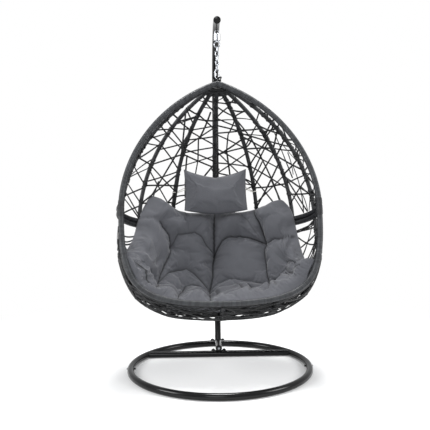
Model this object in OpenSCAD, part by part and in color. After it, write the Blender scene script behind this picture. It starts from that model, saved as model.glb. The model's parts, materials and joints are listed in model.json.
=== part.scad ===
// Hanging egg chair: a wicker basket on a chain, under a C-shaped pole on a round base.
// Millimetres, +Z up. The origin is the centre of the base ring, on the floor.
// The open side of the basket faces -Y and the pole stands at +Y.

/* [Stand] */
// Centre-line diameter of the base ring
ring_d = 1012; // [940:1:1100]
// Outer diameter of the stand's tube
tube_d = 38; // [34:1:42]
// Wall of the stand's tube
tube_wall = 1.5; // [1.2:0.1:2]
// Length of a swaged end inside the next tube
swage_len = 70; // [50:1:90]
// Distance of the crossbar behind the ring's centre
crossbar_y = 262; // [220:1:300]
// Distance of the pole's foot behind the ring's centre
pole_foot_y = 385; // [350:1:400]
// Furthest reach of the pole behind the ring's centre
pole_back_y = 506; // [495:1:560]
// Height of the bolt that joins the two pole tubes
pole_joint_z = 1142; // [1000:1:1250]
// Height where the straight of the pole turns into the top bend
bend_z = 1494; // [1450:1:1560]
// Radius of the top bend
bend_r = 464; // [440:1:480]
// Angle that the top bend turns through
bend_angle = 105; // [98:1:112]
// Length of a saddle plate along its tube
saddle_len = 90; // [80:1:110]
// Distance between a saddle's two bolts
saddle_pitch = 66; // [62:1:74]
// Thickness of a saddle plate
saddle_t = 3; // [2:0.5:4]

/* [Hanging line] */
// Wire diameter of the staple under the arm
staple_wire = 7; // [6:0.5:8]
// Outer diameter of the swivel's barrel
barrel_d = 38; // [34:1:42]
// Height of the swivel's barrel with its cap
barrel_h = 39; // [36:1:46]
// Wire diameter of the swivel's lower ring
ring_wire = 7; // [6:0.5:7]
// Wire diameter of a chain link
link_wire = 5.5; // [5:0.5:6]
// Inside length of a chain link
link_inner = 25.3; // [22:0.1:30]
// Inside width of a chain link
link_gap = 11; // [10.5:0.5:13]
// Twist from each link to the next
link_twist = 6; // [0:1:6]
// Wire diameter of the quick link
quick_wire = 7; // [6:0.5:7]
// Outside length of the quick link
quick_len = 62; // [58:1:70]
// Outside width of the quick link
quick_w = 38; // [36:1:40]

/* [Basket frame] */
// Turn of the basket about the hanging line
turn = 2; // [0:0.1:8]
// Lean of the basket's mouth, top back
tilt = 16.5; // [12:0.5:20]
// Half width of the mouth at its widest
mouth_w = 525; // [480:1:540]
// Drop from the hanging pin to the peak of the rim
peak_u = 34; // [33:1:38]
// Drop from the hanging pin to the seam of hood and bowl
seam_u = 730; // [690:1:770]
// Drop from the hanging pin to the foot of the mouth
foot_u = 1246; // [1180:1:1290]
// Depth of the basket behind the mouth
depth = 590; // [550:1:600]
// Diameter of the wound rim
rim_d = 30; // [27:1:33]
// Diameter of the wound hoops at the seam
hoop_d = 28; // [25:1:31]
// Diameter of the wound ribs
rib_d = 24; // [22:1:26]

/* [Wicker] */
// Strands across the bowl
bowl_strands = 14; // [8:1:20]
// Width of a strand
strand_w = 6; // [4:0.5:7]
// Thickness of a strand
strand_t = 3; // [2:0.5:4]

/* [Cushions] */
// Thickness of the seat cushion at a crown
seat_t = 125; // [100:1:140]
// Width of the head pillow
pillow_w = 375; // [340:1:400]
// Height of the head pillow
pillow_h = 250; // [220:1:270]
// Thickness of the head pillow
pillow_t = 110; // [90:1:120]

/* [Hidden] */
$fn = 64;

// Small gaps: seat is between pieces that rest on each other, run is a running fit
seat = 0.2;
run = 0.05;
steel = [0.07, 0.07, 0.075];
zinc = [0.74, 0.75, 0.78];
wicker = [0.2, 0.2, 0.205];
cloth = [0.39, 0.395, 0.41];
cord_white = [0.9, 0.9, 0.88];

// Stand values
ring_r = ring_d / 2;
tube_r = tube_d / 2;
bore_r = tube_r - tube_wall;
plug_r = bore_r - seat;
swage_a = swage_len / 2 / ring_r * 180 / PI;
bolt_a = swage_a / 2;
strut_z = tube_d + seat + saddle_t + seat + tube_r;
pole_split_z = pole_joint_z + swage_len / 2;
sweep_back = pole_back_y - pole_foot_y;
lower_r = 2400;
lower_a = acos(1 - sweep_back / lower_r);
lower_top = strut_z + lower_r * sin(lower_a);
bend_y = pole_back_y - bend_r;
hang_a = acos(-bend_y / bend_r);
arm_z = bend_z + bend_r * sin(hang_a);

// Hanging line, from the arm down
staple_r = 13;
staple_z = arm_z - tube_r - 39;
eye_wire = 6.4;
eye_r = 10;
eye_z = staple_z + staple_wire / 2 + eye_wire / 2 + seat - eye_r;
barrel_top = eye_z - eye_r + 1;
barrel_bot = barrel_top - barrel_h;
cap_h = 4;
lower_ring_r = 15.5;
spindle_r = 6;
lower_ring_z = barrel_bot - 1.3 - ring_wire / 2 - lower_ring_r;
links = 5;
link_r = (link_gap + link_wire) / 2;
link_len = link_inner + link_wire;
link_step = link_len - link_wire - seat;
link_top = lower_ring_z - lower_ring_r + ring_wire / 2 + link_wire / 2 + seat;
link_end = link_top - (links - 1) * link_step - link_len;
quick_r = (quick_w - quick_wire) / 2;
quick_c = quick_len - quick_wire;
quick_top = link_end + link_wire / 2 + quick_wire / 2 + seat;
quick_bot = quick_top - quick_c;
quick_side = quick_c / 2 - quick_r;
pin_d = 8;
hang_z = quick_bot + quick_wire / 2 + pin_d / 2 + 1.1;

// Basket values
rim_r = rim_d / 2;
hoop_r = hoop_d / 2;
rib_r = rib_d / 2;
ribs = 7;
rib_step = 180 / (ribs + 1);
crown_r = 11;
crown_t = 0.05;

// Cubic curve through four control points
function bez(p, t) = pow(1 - t, 3) * p[0] + 3 * t * pow(1 - t, 2) * p[1]
    + 3 * t * t * (1 - t) * p[2] + pow(t, 3) * p[3];
function unit(v) = v / norm(v);

// Half of the mouth: the hood's side from the peak to the seam, then the bowl's to the foot
hood_side = [[0, -peak_u], [0.69 * mouth_w, -peak_u - 0.195 * (seam_u - peak_u)],
    [mouth_w, -seam_u + 0.345 * (seam_u - peak_u)], [mouth_w, -seam_u]];
bowl_side = [[mouth_w, -seam_u], [mouth_w, -seam_u - 0.79 * (foot_u - seam_u)],
    [0.9 * mouth_w, -foot_u], [0, -foot_u]];

// Plan of the basket: a half oval that swells a little behind the mouth, more so towards
// the peak; k is the share of the width at the seam
swell = 0.16;
function plan_x(a, k = 1) = cos(a) * (1 + 2 * (swell + 0.1 * (1 - k)) * sin(a));

// Point of the hood, t down from the peak and a round from the right of the mouth
function hood(t, a) = let (p = bez(hood_side, t), k = p[0] / mouth_w)
    [p[0] * plan_x(a, k), depth * pow(k, 0.9) * sin(a), p[1]];

// Point of the bowl, v from the seam under the seat to the mouth, a as for the hood
function fold(a) = (a > 90 ? 180 - a : a) / 90;
function bowl(v, a) = let (
    top = [mouth_w * plan_x(a), depth * sin(a), -seam_u],
    e = bez(bowl_side, fold(a)), end = [e[0] * (a > 90 ? -1 : 1), 0, e[1]],
    drop = top[2] - end[2])
    bez([top, [top[0] * 1.03, top[1], top[2] - drop],
        [end[0] * 1.03, 0.55 * top[1], end[2] - 0.3 * drop], end], v);

// Tube of radius r and n sides along points; ref lies across the bend of the path
function dir_at(p, i) = unit(p[min(i + 1, len(p) - 1)] - p[max(i - 1, 0)]);
function ring_at(p, i, r, n, ref) = let (
    t = dir_at(p, i), s = unit(cross(t, ref)), b = cross(s, t))
    [for (j = [0:n - 1]) p[i] + r * (cos(360 * j / n) * s + sin(360 * j / n) * b)];
function side_faces(rings, n) = [for (i = [0:rings - 2], j = [0:n - 1]) each
    [[i * n + j, i * n + (j + 1) % n, (i + 1) * n + (j + 1) % n],
     [i * n + j, (i + 1) * n + (j + 1) % n, (i + 1) * n + j]]];
function end_faces(rings, n) = [for (j = [1:n - 2]) each
    [[0, j + 1, j], [(rings - 1) * n, (rings - 1) * n + j, (rings - 1) * n + j + 1]]];
module sweep(p, r, n, ref) {
    pts = [for (i = [0:len(p) - 1]) each ring_at(p, i, r, n, ref)];
    polyhedron(pts, concat(side_faces(len(p), n), end_faces(len(p), n)), convexity = 6);
}

// Places: a plane through the pole, the turned hanging line and the leaning basket
module in_yz(y, z) translate([0, y, z]) rotate([90, 0, 90]) children();
module in_line() rotate([0, 0, turn]) children();
module in_basket() translate([0, 0, hang_z]) rotate([0, 0, turn]) rotate([-tilt, 0, 0]) children();

// Arc of tube about the Z axis, from angle a by angle w
module tube_arc(r, outer, inner, a, w)
    rotate([0, 0, a]) rotate_extrude(angle = w, $fn = 180) translate([r, 0]) difference() {
        circle(r = outer);
        circle(r = inner);
    }

// Straight tube up the Z axis
module tube(outer, inner, h)
    difference() {
        cylinder(r = outer, h = h);
        translate([0, 0, -1]) cylinder(r = inner, h = h + 2);
    }

// Button-headed bolt, head on z = 0 and shank down
module button_bolt(d, head, h, shank) {
    intersection() {
        translate([0, 0, h - head * 0.62]) sphere(r = head * 0.62);
        cylinder(d = head, h = h);
    }
    translate([0, 0, -shank]) cylinder(d = d, h = shank + 0.5);
}

// Domed nut on z = 0, with its bore
module dome_nut(flats, h, d)
    difference() {
        intersection() {
            cylinder(d = flats / cos(30), h = h, $fn = 6);
            translate([0, 0, h - flats * 0.6]) sphere(r = flats * 0.6);
        }
        translate([0, 0, -1]) cylinder(d = d + 2 * run, h = h - 1.5);
    }

// One bolt place at each side of the base ring, Z pointing out along the radius
module at_ring_joints()
    for (s = [0, 1]) mirror([s, 0, 0])
        rotate([0, 0, -bolt_a]) translate([ring_r, 0, tube_r]) rotate([0, 90, 0]) children();

module ring_bolt_holes() at_ring_joints() translate([0, 0, -30]) cylinder(d = 6.4, h = 60);

// Front half of the base ring: plain tube that takes the rear half's swaged ends
module base_ring_front()
    color(steel) difference() {
        translate([0, 0, tube_r]) tube_arc(ring_r, tube_r, bore_r, 180 + 0.02, 180 - 0.04);
        ring_bolt_holes();
    }

// Rear half of the base ring, with a swaged end on each side
module base_ring_rear()
    color(steel) difference() {
        translate([0, 0, tube_r]) {
            tube_arc(ring_r, tube_r, bore_r, 0, 180);
            for (s = [0, 1]) mirror([s, 0, 0]) {
                tube_arc(ring_r, bore_r + 0.5, plug_r - tube_wall, 0, 0.3);
                tube_arc(ring_r, plug_r, plug_r - tube_wall, -swage_a, swage_a + 0.2);
            }
        }
        ring_bolt_holes();
        rear_holes();
    }

module ring_bolts()
    color(steel) at_ring_joints() translate([0, 0, tube_r + seat])
        button_bolt(6, 12, 4, tube_d + 6.2);

module ring_nuts()
    color(steel) at_ring_joints() translate([0, 0, -tube_r - seat]) mirror([0, 0, 1])
        dome_nut(10, 9, 6.3);

// Crossbar, coped at both ends round the ring's tube
module crossbar() {
    half = sqrt(ring_r * ring_r - crossbar_y * crossbar_y);
    color(steel) difference() {
        translate([-half, crossbar_y, tube_r]) rotate([0, 90, 0]) tube(tube_r, bore_r, 2 * half);
        translate([0, 0, tube_r]) rotate_extrude($fn = 180) translate([ring_r, 0]) circle(r = tube_r + seat);
        saddle_holes(crossbar_y);
    }
}

// Holes for the two bolts of a saddle, through the top wall of the tube below it
module saddle_holes(y)
    for (s = [-1, 1]) translate([s * saddle_pitch / 2, y, tube_r]) cylinder(d = 8.2, h = tube_d);

// Saddle that hugs the top of the crossbar
module saddle_front()
    color(steel) difference() {
        translate([-saddle_len / 2, crossbar_y, tube_r]) rotate([0, 90, 0])
            tube(tube_r + seat + saddle_t, tube_r + seat, saddle_len);
        translate([-saddle_len, crossbar_y - tube_d, -tube_d]) cube([2 * saddle_len, 2 * tube_d, tube_d + tube_r + 4]);
        saddle_holes(crossbar_y);
    }

// Saddle that hugs the top of the ring, bent to its radius
module saddle_rear() {
    w = saddle_len / ring_r * 180 / PI;
    color(steel) difference() {
        translate([0, 0, tube_r]) tube_arc(ring_r, tube_r + seat + saddle_t, tube_r + seat, 90 - w / 2, w);
        translate([-saddle_len, ring_r - 2 * tube_d, -tube_d]) cube([2 * saddle_len, 4 * tube_d, tube_d + tube_r + 4]);
        rear_holes();
    }
}

rear_hole_y = sqrt(ring_r * ring_r - saddle_pitch * saddle_pitch / 4);
module rear_holes() saddle_holes(rear_hole_y);

module saddle_bolts()
    color(steel) for (y = [crossbar_y, rear_hole_y], s = [-1, 1])
        translate([s * saddle_pitch / 2, y, tube_d + seat + saddle_t + seat]) {
            button_bolt(7.8, 18, 9, 20);
            cylinder(d = 22, h = 2);
        }

// Tube from the crossbar to the back of the ring, which carries the pole
module foot_strut()
    color(steel) difference() {
        translate([0, crossbar_y - tube_r - 8, strut_z]) rotate([-90, 0, 0])
            tube(tube_r, bore_r, ring_r - crossbar_y + 2 * tube_r + 6);
        translate([0, pole_foot_y, strut_z]) cylinder(r = 6, h = tube_d);
    }

// Plug in the front end of the strut
module strut_plug()
    color(steel) translate([0, crossbar_y - tube_r - 8 - seat, strut_z]) rotate([90, 0, 0]) difference() {
        union() {
            cylinder(r = tube_r, h = 3);
            translate([0, 0, -14]) cylinder(r = plug_r, h = 14.5);
        }
        translate([0, 0, -15]) cylinder(d = 8.1, h = 20);
    }

module strut_bolt()
    color(zinc) translate([0, crossbar_y - tube_r - 11 - 2 * seat, strut_z]) rotate([90, 0, 0]) {
        cylinder(d = 13 / cos(30), h = 5.3, $fn = 6);
        translate([0, 0, -24]) cylinder(d = 8, h = 24.5);
    }

module pole_bolt_hole(d) translate([-40, pole_back_y, pole_joint_z]) rotate([0, 90, 0]) cylinder(d = d, h = 80);

// Lower pole: leans back from its foot, straight where it takes the upper pole
module pole_lower()
    color(steel) {
        difference() {
            in_yz(pole_back_y - lower_r, lower_top) mirror([0, 1, 0])
                tube_arc(lower_r, tube_r, bore_r, 0, lower_a);
            translate([0, 0, strut_z]) rotate([-90, 0, 0]) cylinder(r = tube_r + seat, h = 2 * ring_r);
        }
        difference() {
            translate([0, pole_back_y, lower_top]) tube(tube_r, bore_r, pole_split_z - lower_top);
            pole_bolt_hole(8.4);
        }
    }

// Upper pole: swaged end, straight, then the bend over the basket
module pole_upper()
    color(steel) difference() {
        union() {
            translate([0, pole_back_y, pole_split_z - swage_len]) tube(plug_r, plug_r - tube_wall, swage_len + 1);
            translate([0, pole_back_y, pole_split_z + seat]) tube(tube_r, plug_r - tube_wall, 2);
            translate([0, pole_back_y, pole_split_z + 1]) tube(tube_r, bore_r, bend_z - pole_split_z - 1);
            in_yz(bend_y, bend_z) tube_arc(bend_r, tube_r, bore_r, 0, bend_angle);
        }
        pole_bolt_hole(8.4);
    }

module pole_bolt()
    color(steel) translate([tube_r + seat, pole_back_y, pole_joint_z]) rotate([0, 90, 0])
        button_bolt(8, 15, 6, tube_d + 7.2);

module pole_nut()
    color(steel) translate([-tube_r - seat, pole_back_y, pole_joint_z]) rotate([0, -90, 0])
        dome_nut(13, 10, 8.3);

// Cap in the free end of the arm
module arm_cap()
    color(steel) in_yz(bend_y, bend_z) rotate([0, 0, bend_angle]) translate([bend_r, 0, 0])
        rotate([-90, 0, 0]) {
            translate([0, 0, seat]) intersection() {
                cylinder(r = tube_r + 1, h = 5);
                translate([0, 0, 5 - 90]) sphere(r = 90, $fn = 128);
            }
            translate([0, 0, -10]) cylinder(r = plug_r - 0.15, h = 10.5);
        }

// Staple of round bar, coped to the underside of the arm
module hanger_staple()
    color(steel) difference() {
        union() {
            translate([0, 0, staple_z + staple_r]) rotate([90, 0, 90]) tube_arc(staple_r, staple_wire / 2, 0.001, 180, 180);
            for (s = [-1, 1]) translate([0, s * staple_r, staple_z + staple_r])
                cylinder(d = staple_wire, h = arm_z - staple_z - staple_r);
        }
        in_yz(bend_y, bend_z) rotate_extrude($fn = 180) translate([bend_r, 0]) circle(r = tube_r + seat);
    }

// Round bar bent round part of a circle about the Z axis
module bar_arc(r, bar, a, w)
    rotate([0, 0, a]) rotate_extrude(angle = w, $fn = 96) translate([r, 0]) circle(d = bar);

// Swivel barrel with its eye; the spindle's head turns inside, over the cap
module swivel_barrel()
    color(zinc) difference() {
        union() {
            translate([0, 0, eye_z]) rotate([90, 0, 0]) rotate_extrude($fn = 96) translate([eye_r, 0]) circle(d = eye_wire);
            translate([0, 0, barrel_bot + cap_h + seat]) rotate_extrude($fn = 96)
                polygon([[0, 0], [barrel_d / 2, 0], [barrel_d / 2, barrel_h - cap_h - 3 - seat],
                    [barrel_d / 2 - 3, barrel_h - cap_h - seat], [0, barrel_h - cap_h - seat]]);
        }
        translate([0, 0, barrel_bot]) cylinder(r = 15, h = 27);
    }

module swivel_cap()
    color(zinc) translate([0, 0, barrel_bot]) difference() {
        union() {
            rotate_extrude($fn = 96) polygon([[0, 0], [barrel_d / 2 - 1.5, 0], [barrel_d / 2, 1.5],
                [barrel_d / 2, cap_h], [0, cap_h]]);
            cylinder(r = 15 - seat, h = cap_h + 4);
        }
        translate([0, 0, -1]) cylinder(r = spindle_r + run, h = cap_h + 6);
    }

// Spindle: head on the cap, stem through it and the lower ring
module swivel_spindle()
    color(zinc) in_line() {
        translate([0, 0, barrel_bot + cap_h + 4 + run]) cylinder(r = 13, h = 9);
        translate([0, 0, lower_ring_z + lower_ring_r - 1]) cylinder(r = spindle_r, h = barrel_bot + cap_h + 7 - lower_ring_z - lower_ring_r);
        translate([0, 0, lower_ring_z]) rotate([90, 0, 0]) rotate_extrude($fn = 96)
            translate([lower_ring_r, 0]) circle(d = ring_wire);
    }

// Oblong link of round bar in the XZ plane, its centre at the origin
module oblong(r, side, bar)
    union() {
        for (s = [0, 180]) rotate([0, s, 0]) {
            translate([0, 0, side]) rotate([90, 0, 0]) bar_arc(r, bar, 0, 180);
            translate([r, 0, -side]) cylinder(d = bar, h = 2 * side);
        }
    }

// Link i of the chain, counted from the swivel down
module chain_link(i)
    color(zinc) in_line() translate([0, 0, link_top - (i - 1) * link_step - link_len / 2])
        rotate([0, 0, (90 + link_twist) * i]) oblong(link_r, link_len / 2 - link_r, link_wire);

// Quick link, open on one side where its sleeve closes it
module in_quick()
    in_line() translate([0, 0, quick_bot + quick_c / 2]) rotate([0, 0, 90 * (links + 1) + link_twist * (links + 1)]) children();
quick_open = 8;
module quick_link()
    color(zinc) in_quick() difference() {
        oblong(quick_r, quick_side, quick_wire);
        translate([quick_r - quick_wire, -quick_wire, -quick_open - 1]) cube([2 * quick_wire, 2 * quick_wire, quick_open]);
    }

module quick_sleeve()
    color(zinc) in_quick() translate([quick_r, 0, -quick_open - 3.5]) difference() {
        cylinder(d = quick_wire + 5, h = quick_open + 5, $fn = 6);
        translate([0, 0, -1]) cylinder(r = quick_wire / 2 + run, h = quick_open + 7);
    }

// Fork on the peak of the basket: two lugs on a foot that fits the slope of the rim
lug_in = 16.5;
lug_t = 4;
peak_a = atan((hood_side[0][1] - hood_side[1][1]) / hood_side[1][0]);
module basket_fork() {
    out = lug_in + lug_t;
    base = -peak_u + rim_r / cos(peak_a) - 0.6;
    fall = out * tan(peak_a);
    color(steel) in_basket() difference() {
        union() {
            rotate([90, 0, 0]) translate([0, 0, -9]) linear_extrude(18)
                polygon([[-out, base - fall], [0, base], [out, base - fall], [out, 0], [lug_in, 0],
                    [lug_in, base + 4], [-lug_in, base + 4], [-lug_in, 0], [-out, 0]]);
            for (s = [-out, lug_in]) translate([s, 0, 0]) rotate([0, 90, 0]) cylinder(r = 9, h = lug_t);
        }
        translate([-50, 0, 0]) rotate([0, 90, 0]) cylinder(d = pin_d + 0.3, h = 100);
    }
}

module fork_bolt()
    color(steel) in_basket() translate([lug_in + lug_t + seat, 0, 0]) rotate([0, 90, 0]) {
        intersection() {
            cylinder(d = 14, h = 4.5);
            translate([0, 0, -5]) sphere(r = 9.6);
        }
        translate([0, 0, -2 * (lug_in + lug_t) - 5.5]) cylinder(d = pin_d, h = 2 * (lug_in + lug_t) + 6);
    }

module fork_nut()
    color(steel) in_basket() translate([-lug_in - lug_t - seat, 0, 0]) rotate([0, -90, 0])
        dome_nut(13, 8.5, pin_d + 0.2);

// Crown: the pad at the peak where the hood's ribs meet
function crown_pt(k) = hood(crown_t, k * rib_step);
module crown()
    color(wicker) in_basket() hull() {
        for (k = [1:ribs]) translate(crown_pt(k)) sphere(r = crown_r, $fn = 20);
        translate([0, rim_r + crown_r + seat, -peak_u - 8]) sphere(r = crown_r, $fn = 20);
    }

// Rims: the tube round the mouth, in two pieces that meet at the seam
function rim_pts(side, first, n, up) = let (
    half = concat([[mouth_w, 0, -seam_u], [mouth_w, 0, -seam_u + up]],
        [for (i = [1:n]) let (p = bez(side, first > 0 ? 1 - i / n : i / n)) [p[0], 0, p[1]]]))
    concat([for (p = half) [-p[0], 0, p[2]]], [for (i = [len(half) - 2:-1:0]) half[i]]);
module hood_rim()
    color(wicker) in_basket() translate([0, 0, seat / 2]) sweep(rim_pts(hood_side, 1, 18, 12), rim_r, 12, [0, 1, 0]);
module bowl_rim()
    color(wicker) in_basket() translate([0, 0, -seat / 2]) sweep(rim_pts(bowl_side, 0, 18, -12), rim_r, 12, [0, 1, 0]);

// Hoops: from the rim round the back, one on the hood and one on the bowl
hoop_a0 = asin((rim_r + seat) / depth) + 0.25;
function hoop_pts(u) = [for (i = [0:28]) let (a = hoop_a0 + (180 - 2 * hoop_a0) * i / 28)
    [mouth_w * plan_x(a), depth * sin(a), u]];
module hoop(u)
    color(wicker) in_basket() difference() {
        sweep(hoop_pts(u), hoop_r, 12, [0, 0, 1]);
        at_hoop_bolts() translate([0, 0, -50]) cylinder(d = 6.4, h = 100);
    }
module hood_hoop() hoop(-seam_u + hoop_r + seat / 2);
module bowl_hoop() hoop(-seam_u - hoop_r - seat / 2);

// Bolts that clamp the two hoops together, midway between ribs
module at_hoop_bolts()
    for (k = [0.5, 2.5, 5.5, 7.5]) let (a = k * rib_step)
        translate([mouth_w * plan_x(a), depth * sin(a), -seam_u]) children();
module hoop_bolts()
    color(steel) in_basket() at_hoop_bolts() translate([0, 0, 2 * hoop_r + 1.5 * seat])
        button_bolt(6, 13, 4, 4 * hoop_r + 6);
module hoop_nuts()
    color(steel) in_basket() at_hoop_bolts() translate([0, 0, -2 * hoop_r - 1.5 * seat])
        mirror([0, 0, 1]) dome_nut(10, 9, 6.3);

// Hood ribs: from the crown down to the top of the hood's hoop
hoop_top = -seam_u + 2 * hoop_r + 1.5 * seat;
function t_of(u, lo = 0, hi = 1, n = 20) = let (m = (lo + hi) / 2)
    n == 0 ? m : bez(hood_side, m)[1] > u ? t_of(u, m, hi, n - 1) : t_of(u, lo, m, n - 1);
hood_end = t_of(hoop_top);
function hood_rib_pts(k, n) = let (
    a = k * rib_step, c = crown_pt(k), t0 = crown_t,
    d = unit(hood(t0 + 0.02, a) - c), e = hood(hood_end, a))
    concat([c + d * (crown_r + 4.5 * seat)],
        [for (i = [1:n]) let (t = t0 + (hood_end - t0) * (i + 0.6) / (n + 1)) hood(t, a)],
        [[e[0], e[1], hoop_top + 14], [e[0], e[1], hoop_top]]);
module hood_ribs()
    color(wicker) in_basket() for (k = [1:ribs])
        sweep(hood_rib_pts(k, 9), rib_r, 8, [-sin(k * rib_step), cos(k * rib_step), 0]);

// Bowl ribs: from under the bowl's hoop, under the seat and up to the mouth
function bowl_rib_pts(k, n) = let (
    a = k * rib_step, e = bowl(1, a), d = unit(bowl(0.96, a) - e),
    f = fold(a), g = bez(bowl_side, min(f + 0.01, 1)) - bez(bowl_side, min(f + 0.01, 1) - 0.01),
    along = unit([g[0] * (a > 90 ? -1 : 1), 0, g[1]]), s = abs(d * along),
    off = (rim_r + seat + rib_r * s) / sqrt(1 - s * s), top = bowl(0, a))
    concat([for (z = [0, 14]) [top[0], top[1], -seam_u - 2 * hoop_r - 1.5 * seat - z]],
        [for (i = [0:n]) let (v = 0.16 + (0.94 - 0.16) * i / n, p = bowl(v, a))
            if (p[2] < -seam_u - 2 * hoop_r - 26 && norm(p - e) > off + 8) p],
        [e + d * off]);
module bowl_ribs()
    color(wicker) in_basket() for (k = [1:ribs])
        sweep(bowl_rib_pts(k, 12), rib_r, 8, [1, 0, 0]);

// Strand: a flat strip from p to q, kept clear of the tubes that it is wound on
module strand(p, q, tp, tq, rp, rq, out) {
    d = unit(q - p);
    sp = abs(d * tp);
    sq = abs(d * tq);
    half = norm([strand_w, strand_t]) / 2;
    a = p + d * (rp + seat + half * sp) / sqrt(1 - sp * sp);
    b = q - d * (rq + seat + half * sq) / sqrt(1 - sq * sq);
    y = unit(cross(out, d));
    z = cross(d, y);
    multmatrix([[d[0], y[0], z[0], a[0]], [d[1], y[1], z[1], a[1]], [d[2], y[2], z[2], a[2]], [0, 0, 0, 1]])
        translate([0, -strand_w / 2, -strand_t / 2]) cube([norm(b - a), strand_w, strand_t]);
}

// Hood strands, bay by bay: height where each one leaves the rib or rim on the right, then
// the one on the left, both as t of hood()
strands = [
    [[0.204, 0.191], [0.241, 0.191], [0.292, 0.302], [0.384, 0.434], [0.531, 0.438], [0.585, 0.449],
     [0.589, 0.568], [0.646, 0.556], [0.707, 0.574], [0.711, 0.692], [0.778, 0.702], [0.878, 0.729],
     [0.92, 0.82], [0.92, 0.855], [0.92, 0.885]],
    [[0.231, 0.271], [0.321, 0.373], [0.348, 0.376], [0.364, 0.459], [0.378, 0.336], [0.396, 0.273],
     [0.435, 0.735], [0.449, 0.516], [0.518, 0.39], [0.539, 0.464], [0.585, 0.646], [0.595, 0.287],
     [0.656, 0.52], [0.707, 0.706], [0.742, 0.87], [0.843, 0.788], [0.867, 0.637], [0.891, 0.608]],
    [[0.183, 0.202], [0.185, 0.17], [0.244, 0.227], [0.266, 0.422], [0.285, 0.412], [0.325, 0.305],
     [0.355, 0.355], [0.359, 0.317], [0.365, 0.29], [0.38, 0.635], [0.396, 0.328], [0.396, 0.539],
     [0.411, 0.611], [0.447, 0.42], [0.481, 0.327], [0.489, 0.696], [0.566, 0.853], [0.568, 0.268],
     [0.618, 0.44], [0.654, 0.817], [0.707, 0.696], [0.759, 0.549]],
    [[0.17, 0.204], [0.195, 0.17], [0.219, 0.218], [0.219, 0.42], [0.286, 0.214], [0.296, 0.262],
     [0.311, 0.315], [0.361, 0.472], [0.413, 0.319], [0.419, 0.463], [0.449, 0.595], [0.543, 0.501],
     [0.556, 0.397], [0.639, 0.568], [0.662, 0.505], [0.679, 0.608], [0.683, 0.815], [0.692, 0.409]],
    [[0.17, 0.17], [0.218, 0.214], [0.25, 0.286], [0.258, 0.399], [0.292, 0.197], [0.321, 0.353],
     [0.38, 0.3], [0.394, 0.441], [0.464, 0.549], [0.493, 0.417], [0.543, 0.459], [0.554, 0.854],
     [0.607, 0.683], [0.64, 0.826], [0.7, 0.757]],
    [[0.187, 0.172], [0.189, 0.252], [0.221, 0.306], [0.258, 0.183], [0.296, 0.302], [0.3, 0.256],
     [0.371, 0.47], [0.409, 0.319], [0.436, 0.357], [0.449, 0.572], [0.472, 0.772], [0.57, 0.428],
     [0.581, 0.69], [0.602, 0.834], [0.675, 0.707], [0.684, 0.384], [0.696, 0.574], [0.801, 0.84],
     [0.836, 0.92], [0.866, 0.593]],
    [[0.25, 0.246], [0.306, 0.294], [0.313, 0.363], [0.321, 0.419], [0.352, 0.34], [0.417, 0.422],
     [0.424, 0.474], [0.432, 0.612], [0.533, 0.683], [0.566, 0.568], [0.593, 0.73], [0.694, 0.612],
     [0.717, 0.838], [0.828, 0.729], [0.863, 0.92], [0.92, 0.82], [0.92, 0.868]],
    [[0.17, 0.208], [0.316, 0.335], [0.342, 0.295], [0.364, 0.358], [0.464, 0.484], [0.53, 0.526],
     [0.554, 0.648], [0.607, 0.629], [0.645, 0.797], [0.675, 0.616], [0.797, 0.752], [0.856, 0.912],
     [0.895, 0.878], [0.92, 0.876]]];

// Directions of the hood's tubes, for the strands' ends
function hood_dir(t, a) = unit(hood(t + 0.005, a) - hood(t - 0.005, a));
module hood_wicker(k)
    color(wicker) in_basket() for (s = strands[k - 1]) {
        a = (k - 1) * rib_step;
        b = k * rib_step;
        m = (a + b) / 2;
        strand(hood(s[0], a), hood(s[1], b), hood_dir(s[0], a), hood_dir(s[1], b),
            k == 1 ? rim_r : rib_r, k == ribs + 1 ? rim_r : rib_r, [cos(m), sin(m), 0.1]);
    }

// Height of bowl strand i where it crosses rib k, as a share from 0 to 1: a fixed slope with
// a seeded waver, folded back at the ends
function folded(x) = let (m = x - 2 * floor(x / 2)) m > 1 ? 2 - m : m;
function strand_h(i, k, n, seed) = let (
    r = rands(0, 1, 4, seed + 31 * i), w = rands(-1, 1, 12, seed + 17 * i + 5),
    slope = (i % 2 == 0 ? 1 : -1) * (0.04 + 0.2 * r[1]))
    0.02 + 0.96 * folded((i + 0.5) / n * 1.0 + slope * (k - 4) + 0.045 * w[k] + r[0] * 0.05);
function bowl_dir(v, a) = unit(bowl(v + 0.005, a) - bowl(v - 0.005, a));
bowl_lo = 0.24;
bowl_hi = 0.9;
function side_rim(t, s) = let (p = bez(bowl_side, t)) [s * p[0], 0, p[1]];
module bowl_wicker(k)
    color(wicker) in_basket() if (k == 1 || k == ribs + 1) {
        a = k == 1 ? rib_step : ribs * rib_step;
        s = k == 1 ? 1 : -1;
        for (i = [0:4]) {
            t = 0.055 + 0.03 * i + 0.012 * (i % 2);
            v = 0.3 + 0.1 * ((i * 3) % 5);
            strand(side_rim(t, s), bowl(v, a), unit(side_rim(t + 0.01, s) - side_rim(t - 0.01, s)),
                bowl_dir(v, a), rim_r, rib_r, [s, 0, 0]);
        }
    } else for (i = [0:bowl_strands - 1]) {
        a = (k - 1) * rib_step;
        b = k * rib_step;
        v = bowl_lo + (bowl_hi - bowl_lo) * strand_h(i, k - 1, bowl_strands, 43);
        w = bowl_lo + (bowl_hi - bowl_lo) * strand_h(i, k, bowl_strands, 43);
        p = bowl(v, a);
        q = bowl(w, b);
        strand(p, q, bowl_dir(v, a), bowl_dir(w, b), rib_r, rib_r, unit((p + q) / 2 - heart));
    }

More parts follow.
